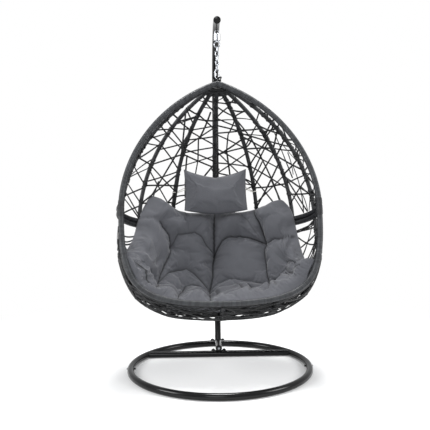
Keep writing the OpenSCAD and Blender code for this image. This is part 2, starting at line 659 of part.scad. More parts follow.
// Seat cushion: a thick pad on the inside of the basket, from above the hoops to the mouth.
// Column i runs round the basket and row j down it; heart is where its thickness points
heart = [0, 0.42 * depth, -0.95 * seam_u];
seat_cols = 28;
seat_rows = 17;
col_seams = [50, 90, 130];
row_seams = [0.3, 0.72];
function near(x, list, w) = max([for (c = list) exp(-pow((x - c) / w, 2))]);
function seat_a(i) = 11.25 + 157.5 * i / seat_cols;

// Top edge by the angle round the basket: two ears, low at the back between them, then
// falling to the front, further on the right, where the pad has slipped down
function seat_top(a) = lookup(a, [[12, 0.78], [25, 0.68], [30, 0.47], [35, 0.28], [40, 0.1], [44, -0.1],
    [50, -0.21], [57, -0.18], [66, -0.15], [74, -0.1], [106, -0.1], [113, -0.15], [123, -0.22],
    [130, -0.26], [135, -0.1], [140, 0.02], [150, 0.2], [156, 0.36], [168, 0.68]]);
function seat_v(i, j) = let (v = seat_top(seat_a(i))) v + (0.9 - v) * j / seat_rows;

// Inner wall of the basket and its inward direction; v below 0 is in the hood
function wall(v, a) = v < 0 ? hood(t_of(-seam_u - 700 * v), a) : bowl(v, a);
function inward(v, a) = unit(cross(wall(v, a + 1) - wall(v, a - 1), wall(v + 0.01, a) - wall(v - 0.01, a)));
function seat_bulge(i, j) = let (
    a = seat_a(i), w = j / seat_rows,
    e = pow(max(0, 1 - pow(abs(2 * i / seat_cols - 1), 8)), 0.5)
        * pow(max(0, 1 - pow(abs(2 * w - 1), 8)), 0.5),
    c = near(a, col_seams, 6), r = near(w, row_seams, 0.06))
    (0.12 + 0.88 * e) * (1 - 0.22 * c - 0.16 * r - 0.3 * c * r);
function seat_clear(a) = rib_r + 3.4 + 8 * (1 - cos(360 * a / rib_step));
function seat_pt(i, j, top) = let (
    a = seat_a(i), v = seat_v(i, j), p = wall(v, a) + inward(v, a) * seat_clear(a))
    top ? p + unit(heart - p) * seat_t * seat_bulge(i, j) : p;
function grid_faces(c, r, o, flip) = [for (j = [0:r - 1], i = [0:c - 1]) let (
    a = o + j * (c + 1) + i, b = a + 1, d = a + c + 1, e = d + 1)
    each flip ? [[a, d, b], [b, d, e]] : [[a, b, d], [b, e, d]]];
function edge_loop(c, r) = concat([for (i = [0:c]) i], [for (j = [1:r]) j * (c + 1) + c],
    [for (i = [1:c]) r * (c + 1) + c - i], [for (j = [1:r - 1]) (r - j) * (c + 1)]);
function edge_faces(l, o) = let (n = len(l)) [for (i = [0:n - 1]) let (a = l[i], b = l[(i + 1) % n])
    each [[a, a + o, b], [b, a + o, b + o]]];
module seat_cushion() {
    o = (seat_cols + 1) * (seat_rows + 1);
    pts = concat([for (j = [0:seat_rows], i = [0:seat_cols]) seat_pt(i, j, false)],
        [for (j = [0:seat_rows], i = [0:seat_cols]) seat_pt(i, j, true)]);
    color(cloth) in_basket() polyhedron(pts, concat(grid_faces(seat_cols, seat_rows, 0, false),
        grid_faces(seat_cols, seat_rows, o, true), edge_faces(edge_loop(seat_cols, seat_rows), o)), convexity = 10);
}

// Head pillow: crowned, with drawn-in sides, against the hood's middle ribs
pillow_u = -0.72 * seam_u;
pillow_wall = min([for (z = [-0.5:0.25:0.5]) hood(t_of(pillow_u + z * pillow_h), 90)[1]]);
pillow_d = pillow_wall - rib_r - seat - pillow_t / 2;
pillow_cols = 18;
pillow_rows = 12;
function pillow_pt(i, j, s) = let (
    x = 2 * i / pillow_cols - 1, z = 2 * j / pillow_rows - 1,
    e = pow(max(0, (1 - pow(abs(x), 3)) * (1 - pow(abs(z), 3))), 0.45))
    [x * pillow_w / 2 * (1 - 0.07 * (1 - z * z)), s * (1 + (pillow_t / 2 - 1) * e),
        z * pillow_h / 2 * (1 - 0.14 * (1 - x * x))];
module head_pillow() {
    c = pillow_cols;
    r = pillow_rows;
    o = (c + 1) * (r + 1);
    pts = concat([for (j = [0:r], i = [0:c]) pillow_pt(i, j, -1)], [for (j = [0:r], i = [0:c]) pillow_pt(i, j, 1)]);
    color(cloth) in_basket() translate([0, pillow_d, pillow_u]) polyhedron(pts,
        concat(grid_faces(c, r, 0, true), grid_faces(c, r, o, false),
            [for (f = edge_faces(edge_loop(c, r), o)) [f[0], f[2], f[1]]]), convexity = 6);
}

// Pillow ties: one cord each side, from the pillow's edge round the nearest rib
function tie_pts(s) = let (
    c = hood(t_of(pillow_u + 6), s > 0 ? 3 * rib_step : 5 * rib_step), r = rib_r + 3,
    x0 = s * (pillow_w / 2 * 0.93 + 2.9))
    concat([[x0, pillow_d, c[2] - 5]],
        [for (i = [0:8]) let (g = -60 + i * 37.5) c + [s * r * sin(g), -r * cos(g), -5 + i * 1.3]],
        [[x0, pillow_d, c[2] + 9]]);
module pillow_ties()
    color(cord_white) in_basket() for (s = [-1, 1]) sweep(tie_pts(s), 2.5, 8, [0, 0, 1]);

base_ring_front();
base_ring_rear();
ring_bolts();
ring_nuts();
crossbar();
saddle_front();
saddle_rear();
saddle_bolts();
foot_strut();
strut_plug();
strut_bolt();
pole_lower();
pole_upper();
pole_bolt();
pole_nut();
arm_cap();
hanger_staple();
swivel_barrel();
swivel_cap();
swivel_spindle();
chain_link(1);  // chain_link_1
chain_link(2);  // chain_link_2
chain_link(3);  // chain_link_3
chain_link(4);  // chain_link_4
chain_link(5);  // chain_link_5
quick_link();
quick_sleeve();
basket_fork();
fork_bolt();
fork_nut();
crown();
hood_rim();
bowl_rim();
hood_hoop();
bowl_hoop();
hood_ribs();
bowl_ribs();
hoop_bolts();
hoop_nuts();
hood_wicker(1);  // hood_wicker_1
hood_wicker(2);  // hood_wicker_2
hood_wicker(3);  // hood_wicker_3
hood_wicker(4);  // hood_wicker_4
hood_wicker(5);  // hood_wicker_5
hood_wicker(6);  // hood_wicker_6
hood_wicker(7);  // hood_wicker_7
hood_wicker(8);  // hood_wicker_8
bowl_wicker(1);  // bowl_wicker_1
bowl_wicker(2);  // bowl_wicker_2
bowl_wicker(3);  // bowl_wicker_3
bowl_wicker(4);  // bowl_wicker_4
bowl_wicker(5);  // bowl_wicker_5
bowl_wicker(6);  // bowl_wicker_6
bowl_wicker(7);  // bowl_wicker_7
bowl_wicker(8);  // bowl_wicker_8
seat_cushion();
head_pillow();
pillow_ties();
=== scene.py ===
# %% [markdown]
# # A hanging egg chair
# A steel stand holds a wicker basket on a swivel and a short chain. The metal pieces are
# exact solids already, so they only need a finish. What the eye reads as "egg chair" is
# everything soft and wound: the rims, hoops and ribs with strip wound round them, the
# criss-cross strands, and the tufted cushions. Those pieces are worked out here with numpy,
# as surfaces over grids, in the basket's own plane and then put in place.

# %% Load the fixed frame
import json
import math
import bmesh
import bpy
import numpy as np
from mathutils import Matrix


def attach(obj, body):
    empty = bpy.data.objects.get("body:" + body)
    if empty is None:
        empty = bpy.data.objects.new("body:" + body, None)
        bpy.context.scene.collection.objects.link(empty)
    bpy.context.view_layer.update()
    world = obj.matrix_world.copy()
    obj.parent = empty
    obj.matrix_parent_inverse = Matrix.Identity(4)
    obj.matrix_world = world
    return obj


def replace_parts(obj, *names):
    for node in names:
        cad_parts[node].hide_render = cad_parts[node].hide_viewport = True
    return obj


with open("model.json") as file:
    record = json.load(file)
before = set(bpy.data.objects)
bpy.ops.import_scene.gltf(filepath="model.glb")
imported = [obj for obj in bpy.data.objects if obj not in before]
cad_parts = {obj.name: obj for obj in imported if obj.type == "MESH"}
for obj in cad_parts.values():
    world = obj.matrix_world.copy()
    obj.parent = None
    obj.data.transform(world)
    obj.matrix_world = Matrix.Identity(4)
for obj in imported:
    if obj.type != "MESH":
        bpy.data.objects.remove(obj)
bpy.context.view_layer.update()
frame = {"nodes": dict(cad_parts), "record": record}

# %% [markdown]
# ## Camera
# A long lens from a little above the seat, level with the front of the mouth. The chair is
# seen almost head-on, so the yaw is small. The matrix is written from three unit vectors:
# right, up and backwards.

# %% Camera
YAW, PITCH, ROLL = math.radians(1.373), 0.0634728, -0.0104813
CAMERA_AT = (-0.1065, -3.6009, 1.1128)


def placed(right, up, back, at):
    """A 4 x 4 matrix whose columns are three unit vectors and a place."""
    m = np.eye(4)
    m[:3, 0], m[:3, 1], m[:3, 2], m[:3, 3] = right, up, back, at
    return Matrix(m.tolist())


ahead = np.array([math.sin(YAW) * math.cos(PITCH), math.cos(YAW) * math.cos(PITCH),
                  -math.sin(PITCH)])
level = np.array([math.cos(YAW), -math.sin(YAW), 0.0])
above = np.cross(level, ahead)
cam_x = math.cos(ROLL) * level + math.sin(ROLL) * above
cam_y = -math.sin(ROLL) * level + math.cos(ROLL) * above
camera = bpy.data.objects.new("camera", bpy.data.cameras.new("camera"))
camera.data.lens, camera.data.sensor_width = 53.81, 36.0
camera.matrix_world = placed(cam_x, cam_y, -ahead, CAMERA_AT)
bpy.context.scene.collection.objects.link(camera)
bpy.context.scene.camera = camera
print("camera at", [round(v, 3) for v in camera.matrix_world.translation])

# %% [markdown]
# ## The basket's own plane
# The basket hangs turned by 2 degrees and leans back by 16.5. Its shapes are far simpler
# before that: the mouth lies in the plane y = 0, the pin is the origin, and u runs up. One
# function carries points from there to the world, from millimetres to metres.

# %% From the basket to the world
TURN, TILT, HANG = math.radians(2.0), math.radians(16.5), 1646.495


def to_world(p):
    """Lean back about X by TILT, turn about Z by TURN, lift by HANG, then mm to m."""
    x, y, u = p[..., 0], p[..., 1], p[..., 2]
    y, u = y * math.cos(TILT) + u * math.sin(TILT), u * math.cos(TILT) - y * math.sin(TILT)
    x, y = x * math.cos(TURN) - y * math.sin(TURN), x * math.sin(TURN) + y * math.cos(TURN)
    return np.stack([x, y, u + HANG], -1) / 1000


def unit(v):
    """Each vector divided by its length."""
    return v / np.maximum(np.linalg.norm(v, axis=-1, keepdims=True), 1e-9)


def bez(c, t):
    """Cubic curve: (1-t)^3 c0 + 3t(1-t)^2 c1 + 3t^2(1-t) c2 + t^3 c3."""
    t = np.asarray(t, float)[..., None]
    return ((1 - t) ** 3 * c[0] + 3 * t * (1 - t) ** 2 * c[1]
            + 3 * t * t * (1 - t) * c[2] + t ** 3 * c[3])


print("the pin hangs at", HANG, "mm")

# %% [markdown]
# ## The egg as two surfaces
# The hood and the bowl are each a function of two numbers. An angle goes round the back,
# from 0 at the right of the mouth to 180 at its left. The other number goes down: t from the
# peak to the seam on the hood, v from the seam under the seat to the front on the bowl.
# Every tube and strand is then a line on one of these surfaces.

# %% Hood and bowl surfaces
MOUTH, PEAK, SEAM, FOOT, DEPTH = 525.0, 34.0, 730.0, 1246.0, 590.0
HOOD_SIDE = np.array([[0, -PEAK], [0.69 * MOUTH, -PEAK - 0.195 * (SEAM - PEAK)],
                      [MOUTH, -SEAM + 0.345 * (SEAM - PEAK)], [MOUTH, -SEAM]])
BOWL_SIDE = np.array([[MOUTH, -SEAM], [MOUTH, -SEAM - 0.79 * (FOOT - SEAM)],
                      [0.9 * MOUTH, -FOOT], [0, -FOOT]])


def plan_x(a, k=1.0):
    """Half oval in plan, fuller behind the mouth: cos a (1 + 2 (0.16 + 0.1 (1 - k)) sin a)."""
    return np.cos(a) * (1 + 2 * (0.16 + 0.1 * (1 - k)) * np.sin(a))


def hood(t, deg):
    """Side curve swept round: x (plan), depth k^0.9 sin a, u, with k = x over the half width."""
    a = np.radians(deg)
    p = bez(HOOD_SIDE, t)
    k = np.maximum(p[..., 0], 0) / MOUTH
    return np.stack(np.broadcast_arrays(p[..., 0] * plan_x(a, k), DEPTH * k ** 0.9 * np.sin(a),
                                        p[..., 1]), -1)


def bowl(v, deg):
    """Cubic curve from the seam, down and forward under the seat, to the mouth's lower rim."""
    v, deg = np.broadcast_arrays(np.asarray(v, float), np.asarray(deg, float))
    a = np.radians(deg)
    top = np.stack([MOUTH * plan_x(a), DEPTH * np.sin(a), np.full(a.shape, -SEAM)], -1)
    edge = bez(BOWL_SIDE, np.where(deg > 90, 180 - deg, deg) / 90)
    end = np.stack([edge[..., 0] * np.where(deg > 90, -1, 1), 0 * a, edge[..., 1]], -1)
    drop = top[..., 2] - end[..., 2]
    c1 = np.stack([top[..., 0] * 1.03, top[..., 1], top[..., 2] - drop], -1)
    c2 = np.stack([end[..., 0] * 1.03, 0.55 * top[..., 1], end[..., 2] - 0.3 * drop], -1)
    return bez([top, c1, c2, end], v)


print("hood from u", -PEAK, "to", -SEAM, "mm; bowl down to", -FOOT)

# %% [markdown]
# ## From a grid to a mesh
# foreach_set copies whole numpy arrays into Blender at once, which is far quicker than
# adding vertices one by one. Every new piece goes through the same function: it takes
# points, four-sided and three-sided faces, and any values that the finish will read. A
# second one turns faces outwards, and can first merge the points that lie on each other.

# %% Mesh helpers


def add_piece(name, points, quads, tris=None, body="basket", slot="wicker", finish=None,
              uv=None, shade=None):
    """Mesh from arrays: points (n, 3) in metres, quads (m, 4), tris (k, 3), uv per point."""
    tris = np.zeros((0, 3), int) if tris is None else tris
    loops = np.concatenate([quads.ravel(), tris.ravel()]).astype(np.int32)
    starts = np.concatenate([np.arange(len(quads)) * 4,
                             len(quads) * 4 + np.arange(len(tris)) * 3])
    me = bpy.data.meshes.new(name)
    me.vertices.add(len(points))
    me.vertices.foreach_set("co", np.ascontiguousarray(points, np.float32).ravel())
    me.loops.add(len(loops))
    me.loops.foreach_set("vertex_index", loops)
    me.polygons.add(len(starts))
    me.polygons.foreach_set("loop_start", starts.astype(np.int32))
    me.update(calc_edges=True)
    me.polygons.foreach_set("use_smooth", np.ones(len(starts), bool))
    if uv is not None:
        layer = me.uv_layers.new(name="along")
        layer.data.foreach_set("uv", uv[loops].astype(np.float32).ravel())
    if shade is not None:
        values = me.attributes.new("shade", "FLOAT", "POINT")
        values.data.foreach_set("value", shade.astype(np.float32))
    if finish is not None:
        me.materials.append(finish)
    obj = bpy.data.objects.new(name, me)
    bpy.context.scene.collection.objects.link(obj)
    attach(obj, body)
    print(name, len(points), "points,", 2 * len(quads) + len(tris), "triangles")
    return obj


def outward(obj, merge=0.0):
    """Merges points closer than merge metres, then turns each shell's faces outwards."""
    bm = bmesh.new()
    bm.from_mesh(obj.data)
    if merge:
        bmesh.ops.remove_doubles(bm, verts=bm.verts, dist=merge)
    bmesh.ops.recalc_face_normals(bm, faces=bm.faces)
    bm.to_mesh(obj.data)
    bm.free()
    return obj


def grid_quads(rows, cols, wrap):
    """Faces of a rows x cols grid; wrap joins the last column to the first."""
    i, j = np.meshgrid(np.arange(rows - 1), np.arange(cols if wrap else cols - 1), indexing="ij")
    k = (j + 1) % cols
    return np.stack([i * cols + j, i * cols + k, (i + 1) * cols + k, (i + 1) * cols + j],
                    -1).reshape(-1, 4)


def many(quads, count, step):
    """The same faces for count copies, each copy's points step further on."""
    return (quads[None] + (np.arange(count) * step)[:, None, None]).reshape(-1, quads.shape[1])


print("a 3 x 4 grid has", len(grid_quads(3, 4, False)), "faces, wrapped",
      len(grid_quads(3, 4, True)))

# %% [markdown]
# ## Adding nodes
# A finish is a small graph: patterns, the numbers they are mapped to, and one shader at the
# end. Colours are written as sRGB hex values and turned to linear by one function. Another
# adds any node with its settings, so that each finish below reads like a list.

# %% Node helpers


def srgb(code):
    """sRGB hex to linear: c/12.92 below 0.04045, else ((c + 0.055)/1.055)^2.4."""
    c = np.array([int(code[i:i + 2], 16) / 255 for i in (1, 3, 5)])
    return (*np.where(c <= 0.04045, c / 12.92, ((c + 0.055) / 1.055) ** 2.4).tolist(), 1.0)


def node(owner, kind, links=(), stops=(), **settings):
    """Adds one shader node with its properties and inputs by name. In links, (input, x) is a
    link where x is an output and a value where it isn't; stops are a ramp's (place, hex)."""
    n = owner.node_tree.nodes.new("ShaderNode" + kind)
    for key, value in settings.items():
        if key in n.inputs:
            n.inputs[key].default_value = value
        else:
            setattr(n, key, value)
    for socket, source in links:
        if isinstance(source, bpy.types.NodeSocket):
            owner.node_tree.links.new(source, n.inputs[socket])
        else:
            n.inputs[socket].default_value = source
    for k, (place, code) in enumerate(stops):
        n.color_ramp.elements[k].position = place
        n.color_ramp.elements[k].color = srgb(code)
    return n


def new_finish(name, **sockets):
    """A named material with its principled shader's uniform values set on its own sockets."""
    mat = bpy.data.materials.new(name)
    mat.use_nodes = True
    shader = mat.node_tree.nodes["Principled BSDF"]
    for key, value in sockets.items():
        shader.inputs[key.replace("_", " ")].default_value = value
    return mat, shader


def feed(mat, shader, **sources):
    """Links outputs to the shader's sockets, with _ in a name for its space."""
    for key, source in sources.items():
        mat.node_tree.links.new(source, shader.inputs[key.replace("_", " ")])
    return mat


print("mid grey in linear light:", round(srgb("#808080")[0], 3))

# %% [markdown]
# ## Finishes of the metal
# The stand is steel tube with a gloss black powder coat. Powder is sprayed dry and baked,
# which leaves an even skin with a faint orange peel, about 3 mm from crest to crest. The
# swivel, chain and quick link are bright zinc plate: a thin electroplated layer, bluish
# white, with small crystals that make its reflection slightly cloudy.

# %% Powder coat and zinc


def powder_coat():
    """Polyester powder, IOR 1.5: near black, smooth, with a shallow 3 mm orange peel."""
    mat, shader = new_finish("gloss black powder coat", IOR=1.5, Specular_IOR_Level=0.24)
    place = node(mat, "TexCoord").outputs["Object"]
    peel = node(mat, "TexNoise", [("Vector", place)], Scale=330.0, Detail=1.5)
    dust = node(mat, "TexNoise", [("Vector", place)], Scale=9.0, Detail=6.0,
                Roughness=0.6).outputs["Fac"]
    black = node(mat, "ValToRGB", [("Fac", dust)], [(0.3, "#0a0a0b"), (0.7, "#111112")])
    rough = node(mat, "MapRange", [("Value", dust), ("To Min", 0.13), ("To Max", 0.2)])
    bump = node(mat, "Bump", [("Height", peel.outputs["Fac"])], Strength=0.12, Distance=0.0004)
    return feed(mat, shader, Base_Color=black.outputs["Color"],
                Roughness=rough.outputs["Result"], Normal=bump.outputs["Normal"])


def zinc_plate():
    """Electroplated zinc: metallic, bluish white, crystals near 1 mm, light handling marks."""
    mat, shader = new_finish("bright zinc plate", Metallic=1.0)
    place = node(mat, "TexCoord").outputs["Object"]
    grain = node(mat, "TexVoronoi", [("Vector", place)], Scale=900.0)
    cloud = node(mat, "TexNoise", [("Vector", place)], Scale=60.0, Detail=4.0).outputs["Fac"]
    white = node(mat, "ValToRGB", [("Fac", cloud)], [(0.3, "#94979c"), (0.75, "#c2c5c9")])
    rough = node(mat, "MapRange", [("Value", cloud), ("To Min", 0.16), ("To Max", 0.34)])
    bump = node(mat, "Bump", [("Height", grain.outputs["Distance"])], Strength=0.08,
                Distance=0.0002)
    return feed(mat, shader, Base_Color=white.outputs["Color"],
                Roughness=rough.outputs["Result"], Normal=bump.outputs["Normal"])


METAL = {"black_coat": powder_coat(), "zinc": zinc_plate()}
slot_of = {s["node"]: s["material_slot"] for s in frame["record"]["subparts"]}
for name, obj in frame["nodes"].items():
    if slot_of[name] in METAL:
        for slot in obj.material_slots:
            slot.material = METAL[slot_of[name]]
for kind, finish in METAL.items():
    print(finish.name, "on", sum(s == kind for s in slot_of.values()), "nodes")

# %% [markdown]
# ## Finish of the wicker
# Synthetic wicker is extruded polyethylene strip, dyed charcoal right through. Its surface
# has fine lines along its length from the die, a dull sheen, and each turn catches the light
# a little differently. The finish reads a map whose first number counts turns along a tube
# and whose second goes round it, so every turn can have its own tone. Die lines lie about
# 0.5 mm apart, too fine to show, so they are drawn at 1 mm.

# %% Wicker finish


def wicker(name, dark, light, gloss):
    """Polyethylene strip, IOR 1.52: mean of tone per turn, shade and wear, with die lines."""
    mat, shader = new_finish(name, IOR=1.52, Specular_IOR_Level=0.32)
    uv = node(mat, "UVMap", uv_map="along").outputs["UV"]
    split = node(mat, "SeparateXYZ", [("Vector", uv)])
    turn = node(mat, "Math", [(0, split.outputs["X"])], operation="FLOOR")
    tone = node(mat, "TexWhiteNoise", [("W", turn.outputs[0])], noise_dimensions="1D")
    shade = node(mat, "Attribute", attribute_name="shade")
    place = node(mat, "TexCoord").outputs["Object"]
    wear = node(mat, "TexNoise", [("Vector", place)], Scale=24.0, Detail=5.0)
    both = node(mat, "Math", [(0, tone.outputs["Value"]), (1, shade.outputs["Fac"])],
                operation="ADD")
    summed = node(mat, "Math", [(0, both.outputs[0]), (1, wear.outputs["Fac"])], operation="ADD")
    mean = node(mat, "Math", [(0, summed.outputs[0]), (1, 3.0)], operation="DIVIDE").outputs[0]
    colour = node(mat, "ValToRGB", [("Fac", mean)], [(0.2, dark), (0.8, light)])
    rough = node(mat, "MapRange", [("Value", mean), ("To Min", gloss + 0.1),
                                   ("To Max", gloss - 0.08)])
    stretch = node(mat, "Mapping", [("Vector", uv)], Scale=(6.0, 1.5, 1.0))
    lines = node(mat, "TexNoise", [("Vector", stretch.outputs["Vector"])], Scale=1.0, Detail=3.0)
    bump = node(mat, "Bump", [("Height", lines.outputs["Fac"])], Strength=0.35, Distance=0.0005)
    return feed(mat, shader, Base_Color=colour.outputs["Color"],
                Roughness=rough.outputs["Result"], Normal=bump.outputs["Normal"])


WOUND = wicker("wound charcoal wicker", "#141517", "#2b2c2f", 0.4)
STRIP = wicker("charcoal wicker strand", "#0d0e0f", "#1d1e20", 0.46)
# The rims' copy of the strip is lighter: painted sheen, standing in for the bright reflection along
# the rims.
RIM_PAINTED_SHEEN = wicker("wound charcoal wicker, rim, painted sheen", "#1a1b1d", "#3c3e41", 0.36)
print("wicker finishes:", WOUND.name, STRIP.name, RIM_PAINTED_SHEEN.name)

# %% [markdown]
# ## Winding a tube
# A wound tube is a tube whose radius rises and falls along its length, once for every turn
# of strip. To make the turns lean as real winding does, the rise also shifts with the angle
# round the tube: one full pitch for one full turn. That is a true helix, made as geometry,
# so its edge is ridged from every side.

# %% Wound tubes
SMOOTHING_PASSES, MERGE = 4, 1e-5


def resample(path, step):
    """Points at even distances along a polyline: cumulative length, then interpolation."""
    path = np.asarray(path, float)
    s = np.concatenate([[0], np.cumsum(np.linalg.norm(np.diff(path, axis=0), axis=1))])
    count = max(int(round(s[-1] / step)), 2) + 1
    at = np.linspace(0, s[-1], count)
    return np.stack([np.interp(at, s, path[:, k]) for k in range(3)], -1), at


def wound(path, across, r, pitch, sides, per_turn, rise=1.1, phase=0.0):
    """Tube along path: radius = r - rise + rise (1 - |2f - 1|^2.5), where f is the fraction
    of a turn, s / pitch - angle / 360. Ends are closed by small caps."""
    pts, s = resample(path, pitch / per_turn)
    for _ in range(SMOOTHING_PASSES):
        pts[1:-1] = (pts[:-2] + 2 * pts[1:-1] + pts[2:]) / 4
    tangent = unit(np.gradient(pts, axis=0))
    side = unit(np.cross(tangent, across))
    up = np.cross(side, tangent)
    ang = np.linspace(0, 2 * np.pi, sides + 1)[None, :]
    turn = s[:, None] / pitch - ang / (2 * np.pi) + phase
    f = turn - np.floor(turn)
    radius = r - rise + rise * (1 - np.abs(2 * f - 1) ** 2.5)
    out = np.cos(ang)[..., None] * side[:, None] + np.sin(ang)[..., None] * up[:, None]
    uv = np.stack([turn + 40, np.broadcast_to(ang / (2 * np.pi) * 12, turn.shape)], -1)
    return pts[:, None] + radius[..., None] * out, uv


def tubes_piece(name, rings, finish=WOUND, **more):
    """One mesh of many wound tubes. The seam column is doubled for the map, then merged."""
    points, quads, tris, uvs, base = [], [], [], [], 0
    for ring, uv in rings:
        n, m = ring.shape[:2]
        points += [ring.reshape(-1, 3), ring[[0, -1]].mean(1)]
        uvs += [uv.reshape(-1, 2), uv[[0, -1]].mean(1)]
        quads.append(grid_quads(n, m, False)[:, ::-1] + base)
        j = np.arange(m - 1)
        last, hub = (n - 1) * m, n * m
        tris.append(np.stack([j, j + 1, np.full(m - 1, hub)], -1) + base)
        tris.append(np.stack([last + j + 1, last + j, np.full(m - 1, hub + 1)], -1) + base)
        base += n * m + 2
    points, uvs = np.concatenate(points), np.concatenate(uvs)
    piece = add_piece(name, to_world(points), np.concatenate(quads), np.concatenate(tris),
                      finish=finish, uv=uvs, shade=np.full(len(points), 0.5), **more)
    return outward(piece, MERGE)


print("100 mm cut every 7 mm has", len(resample([[0, 0, 0], [100, 0, 0]], 7)[1]), "points")

# %% [markdown]
# ## The rims
# The mouth has two wound tubes that meet at the seam, at its widest. Each follows its side
# curve, mirrored. The strip here is about 6 mm wide.

# %% Rims
GAP = 0.2
FORWARD, UP, SIDEWAYS = [0, 1, 0], [0, 0, 1], [1, 0, 0]
RIM_TURNS = dict(r=15.3, pitch=6.2, sides=24, per_turn=5)


def rim_path(half, lift):
    """A side curve from the seam to the middle, lifted, then on along its mirror image."""
    half = np.stack([half[:, 0], 0 * half[:, 0], half[:, 1] + lift], -1)
    return np.concatenate([half * [-1, 1, 1], half[::-1][1:]])


down = np.linspace(0, 1, 140)
hood_path = rim_path(bez(HOOD_SIDE, down)[::-1], GAP / 2)
bowl_path = rim_path(bez(BOWL_SIDE, down), -GAP / 2)
for name, path in (("hood_rim", hood_path), ("bowl_rim", bowl_path)):
    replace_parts(tubes_piece(name + "_wound", [wound(path, FORWARD, **RIM_TURNS)], RIM_PAINTED_SHEEN), name)

# %% [markdown]
# ## The hoops
# Two hoops run round the back at the seam, one above the other. They are thinner tubes with
# the same winding. Beside the seam, some turns of strip lash each hoop's ends to the rim, so
# they are part of the same piece.

# %% Hoops and lashings
HOOP_R, RIB_R, RIM_R = 14.0, 12.0, 15.0
HOOP_TURNS = dict(r=14.1, pitch=6.0, sides=20, per_turn=5)
LASH_TURNS = dict(r=17.6, pitch=6.5, sides=20, per_turn=5, rise=2.2)


def hoop_path(u):
    """The plan curve at the seam, at height u."""
    a = np.radians(np.linspace(1.75, 178.25, 160))
    return np.stack([MOUTH * plan_x(a), DEPTH * np.sin(a), np.full(a.shape, u)], -1)


def lashing(path, length):
    """Turns of strip over both ends of a rim, beside the seam: the rim's own path, cut short."""
    s = np.concatenate([[0], np.cumsum(np.linalg.norm(np.diff(path, axis=0), axis=1))])
    at = np.linspace(2, length, 24)
    ends = [np.stack([np.interp(x, s, path[:, k]) for k in range(3)], -1)
            for x in (at, s[-1] - at[::-1])]
    return [wound(end, FORWARD, **LASH_TURNS) for end in ends]


for name, up, path, length in (("hood_hoop", 1, hood_path, 34), ("bowl_hoop", -1, bowl_path, 52)):
    around = wound(hoop_path(-SEAM + up * (HOOP_R + GAP / 2)), UP, **HOOP_TURNS)
    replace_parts(tubes_piece(name + "_wound", [around] + lashing(path, length)), name)

# %% [markdown]
# ## The ribs
# Seven ribs drop from the crown to the upper hoop, and seven more go from the lower hoop
# under the seat to the front of the mouth. Each starts its winding at a different point of a
# turn, so that neighbours don't look copied.

# %% Ribs
RIB_STEP = 22.5
RIB_TURNS = dict(r=RIB_R, pitch=5.8, sides=16, per_turn=4)
hood_tubes, bowl_tubes = [], []
for k in range(1, 8):
    a = math.radians(RIB_STEP * k)
    line = hood(np.linspace(0.046, 0.962, 90), RIB_STEP * k)
    hood_tubes.append(wound(line, [-math.sin(a), math.cos(a), 0], phase=k * 0.37, **RIB_TURNS))
    line = bowl(np.linspace(0.035, 0.985, 90), RIB_STEP * k)
    bowl_tubes.append(wound(line, SIDEWAYS, phase=k * 0.61, **RIB_TURNS))
for name, tubes in (("hood_ribs", hood_tubes), ("bowl_ribs", bowl_tubes)):
    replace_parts(tubes_piece(name + "_wound", tubes), name)

# %% [markdown]
# ## The crown
# At the peak the ribs gather behind the rim and strip is wound round all of them. Four short
# wound rolls, one inside the other, close that mass from the rim to where the ribs part.

# %% Crown
CROWN_TURNS = dict(pitch=6.0, sides=18, per_turn=5, rise=1.6)
fan = np.linspace(14, 166, 60)
crown_rolls = [wound(hood(np.full(60, t), fan), UP, r=r, phase=r, **CROWN_TURNS)
               for t, r in ((0.066, 9.5), (0.05, 11.5), (0.033, 11.0), (0.016, 9.0))]
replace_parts(tubes_piece("crown_wound", crown_rolls, finish=STRIP), "crown")

# %% [markdown]
# ## Strands
# Between the tubes, flat half-round strip runs criss-cross from rib to rib, some in front of
# the ribs and some behind. Hundreds of strands share a few dozen faces each, so they are made
# together: all centre lines in one array, all cross-sections in another. Each strand starts
# against the face of its rib, twists a little on its way, and strays a few millimetres from
# its straight line.

# %% Strips
MIDDLE = np.array([0, 200.0, -700.0])


def normal_at(surface, p, deg):
    """Outward direction: cross product of the surface's two numeric slopes."""
    p, deg = np.broadcast_arrays(np.asarray(p, float), np.asarray(deg, float))
    n = np.cross(surface(p + 0.005, deg) - surface(p - 0.005, deg),
                 surface(p, deg + 0.5) - surface(p, deg - 0.5))
    return unit(n) * np.sign((n * (surface(p, deg) - MIDDLE)).sum(-1, keepdims=True))


def strips(line, nrm, width, thick, rng):
    """Tubes along lines (n, steps, 3): waver as sin(pi s), section a flattened ellipse of 8
    points that twists by a seeded angle. Returns points (n, steps, 8, 3)."""
    n, steps = line.shape[:2]
    s = np.linspace(0, 1, steps)[None, :, None]
    mid = np.sin(np.pi * s)
    side = unit(np.cross(nrm, np.gradient(line, axis=1)))
    line = (line + nrm * mid * rng.uniform(-2.5, 2.5, (n, 1, 1))
            + side * mid * rng.uniform(-4, 4, (n, 1, 1)))
    twist = rng.uniform(-0.5, 0.5, (n, 1, 1)) + rng.uniform(-0.7, 0.7, (n, 1, 1)) * (s - 0.5)
    side, nrm = (side * np.cos(twist) + nrm * np.sin(twist),
                 nrm * np.cos(twist) - side * np.sin(twist))
    ang = np.arange(8) * np.pi / 4 + np.pi / 8
    x = (np.sign(np.cos(ang)) * np.abs(np.cos(ang)) ** 0.8)[None, None, :, None]
    y = (np.sign(np.sin(ang)) * np.abs(np.sin(ang)) ** 0.8)[None, None, :, None]
    w, t = np.reshape(width, (-1, 1, 1, 1)) / 2, np.reshape(thick, (-1, 1, 1, 1)) / 2
    return line[:, :, None] + side[:, :, None] * (w * x) + nrm[:, :, None] * (t * y)


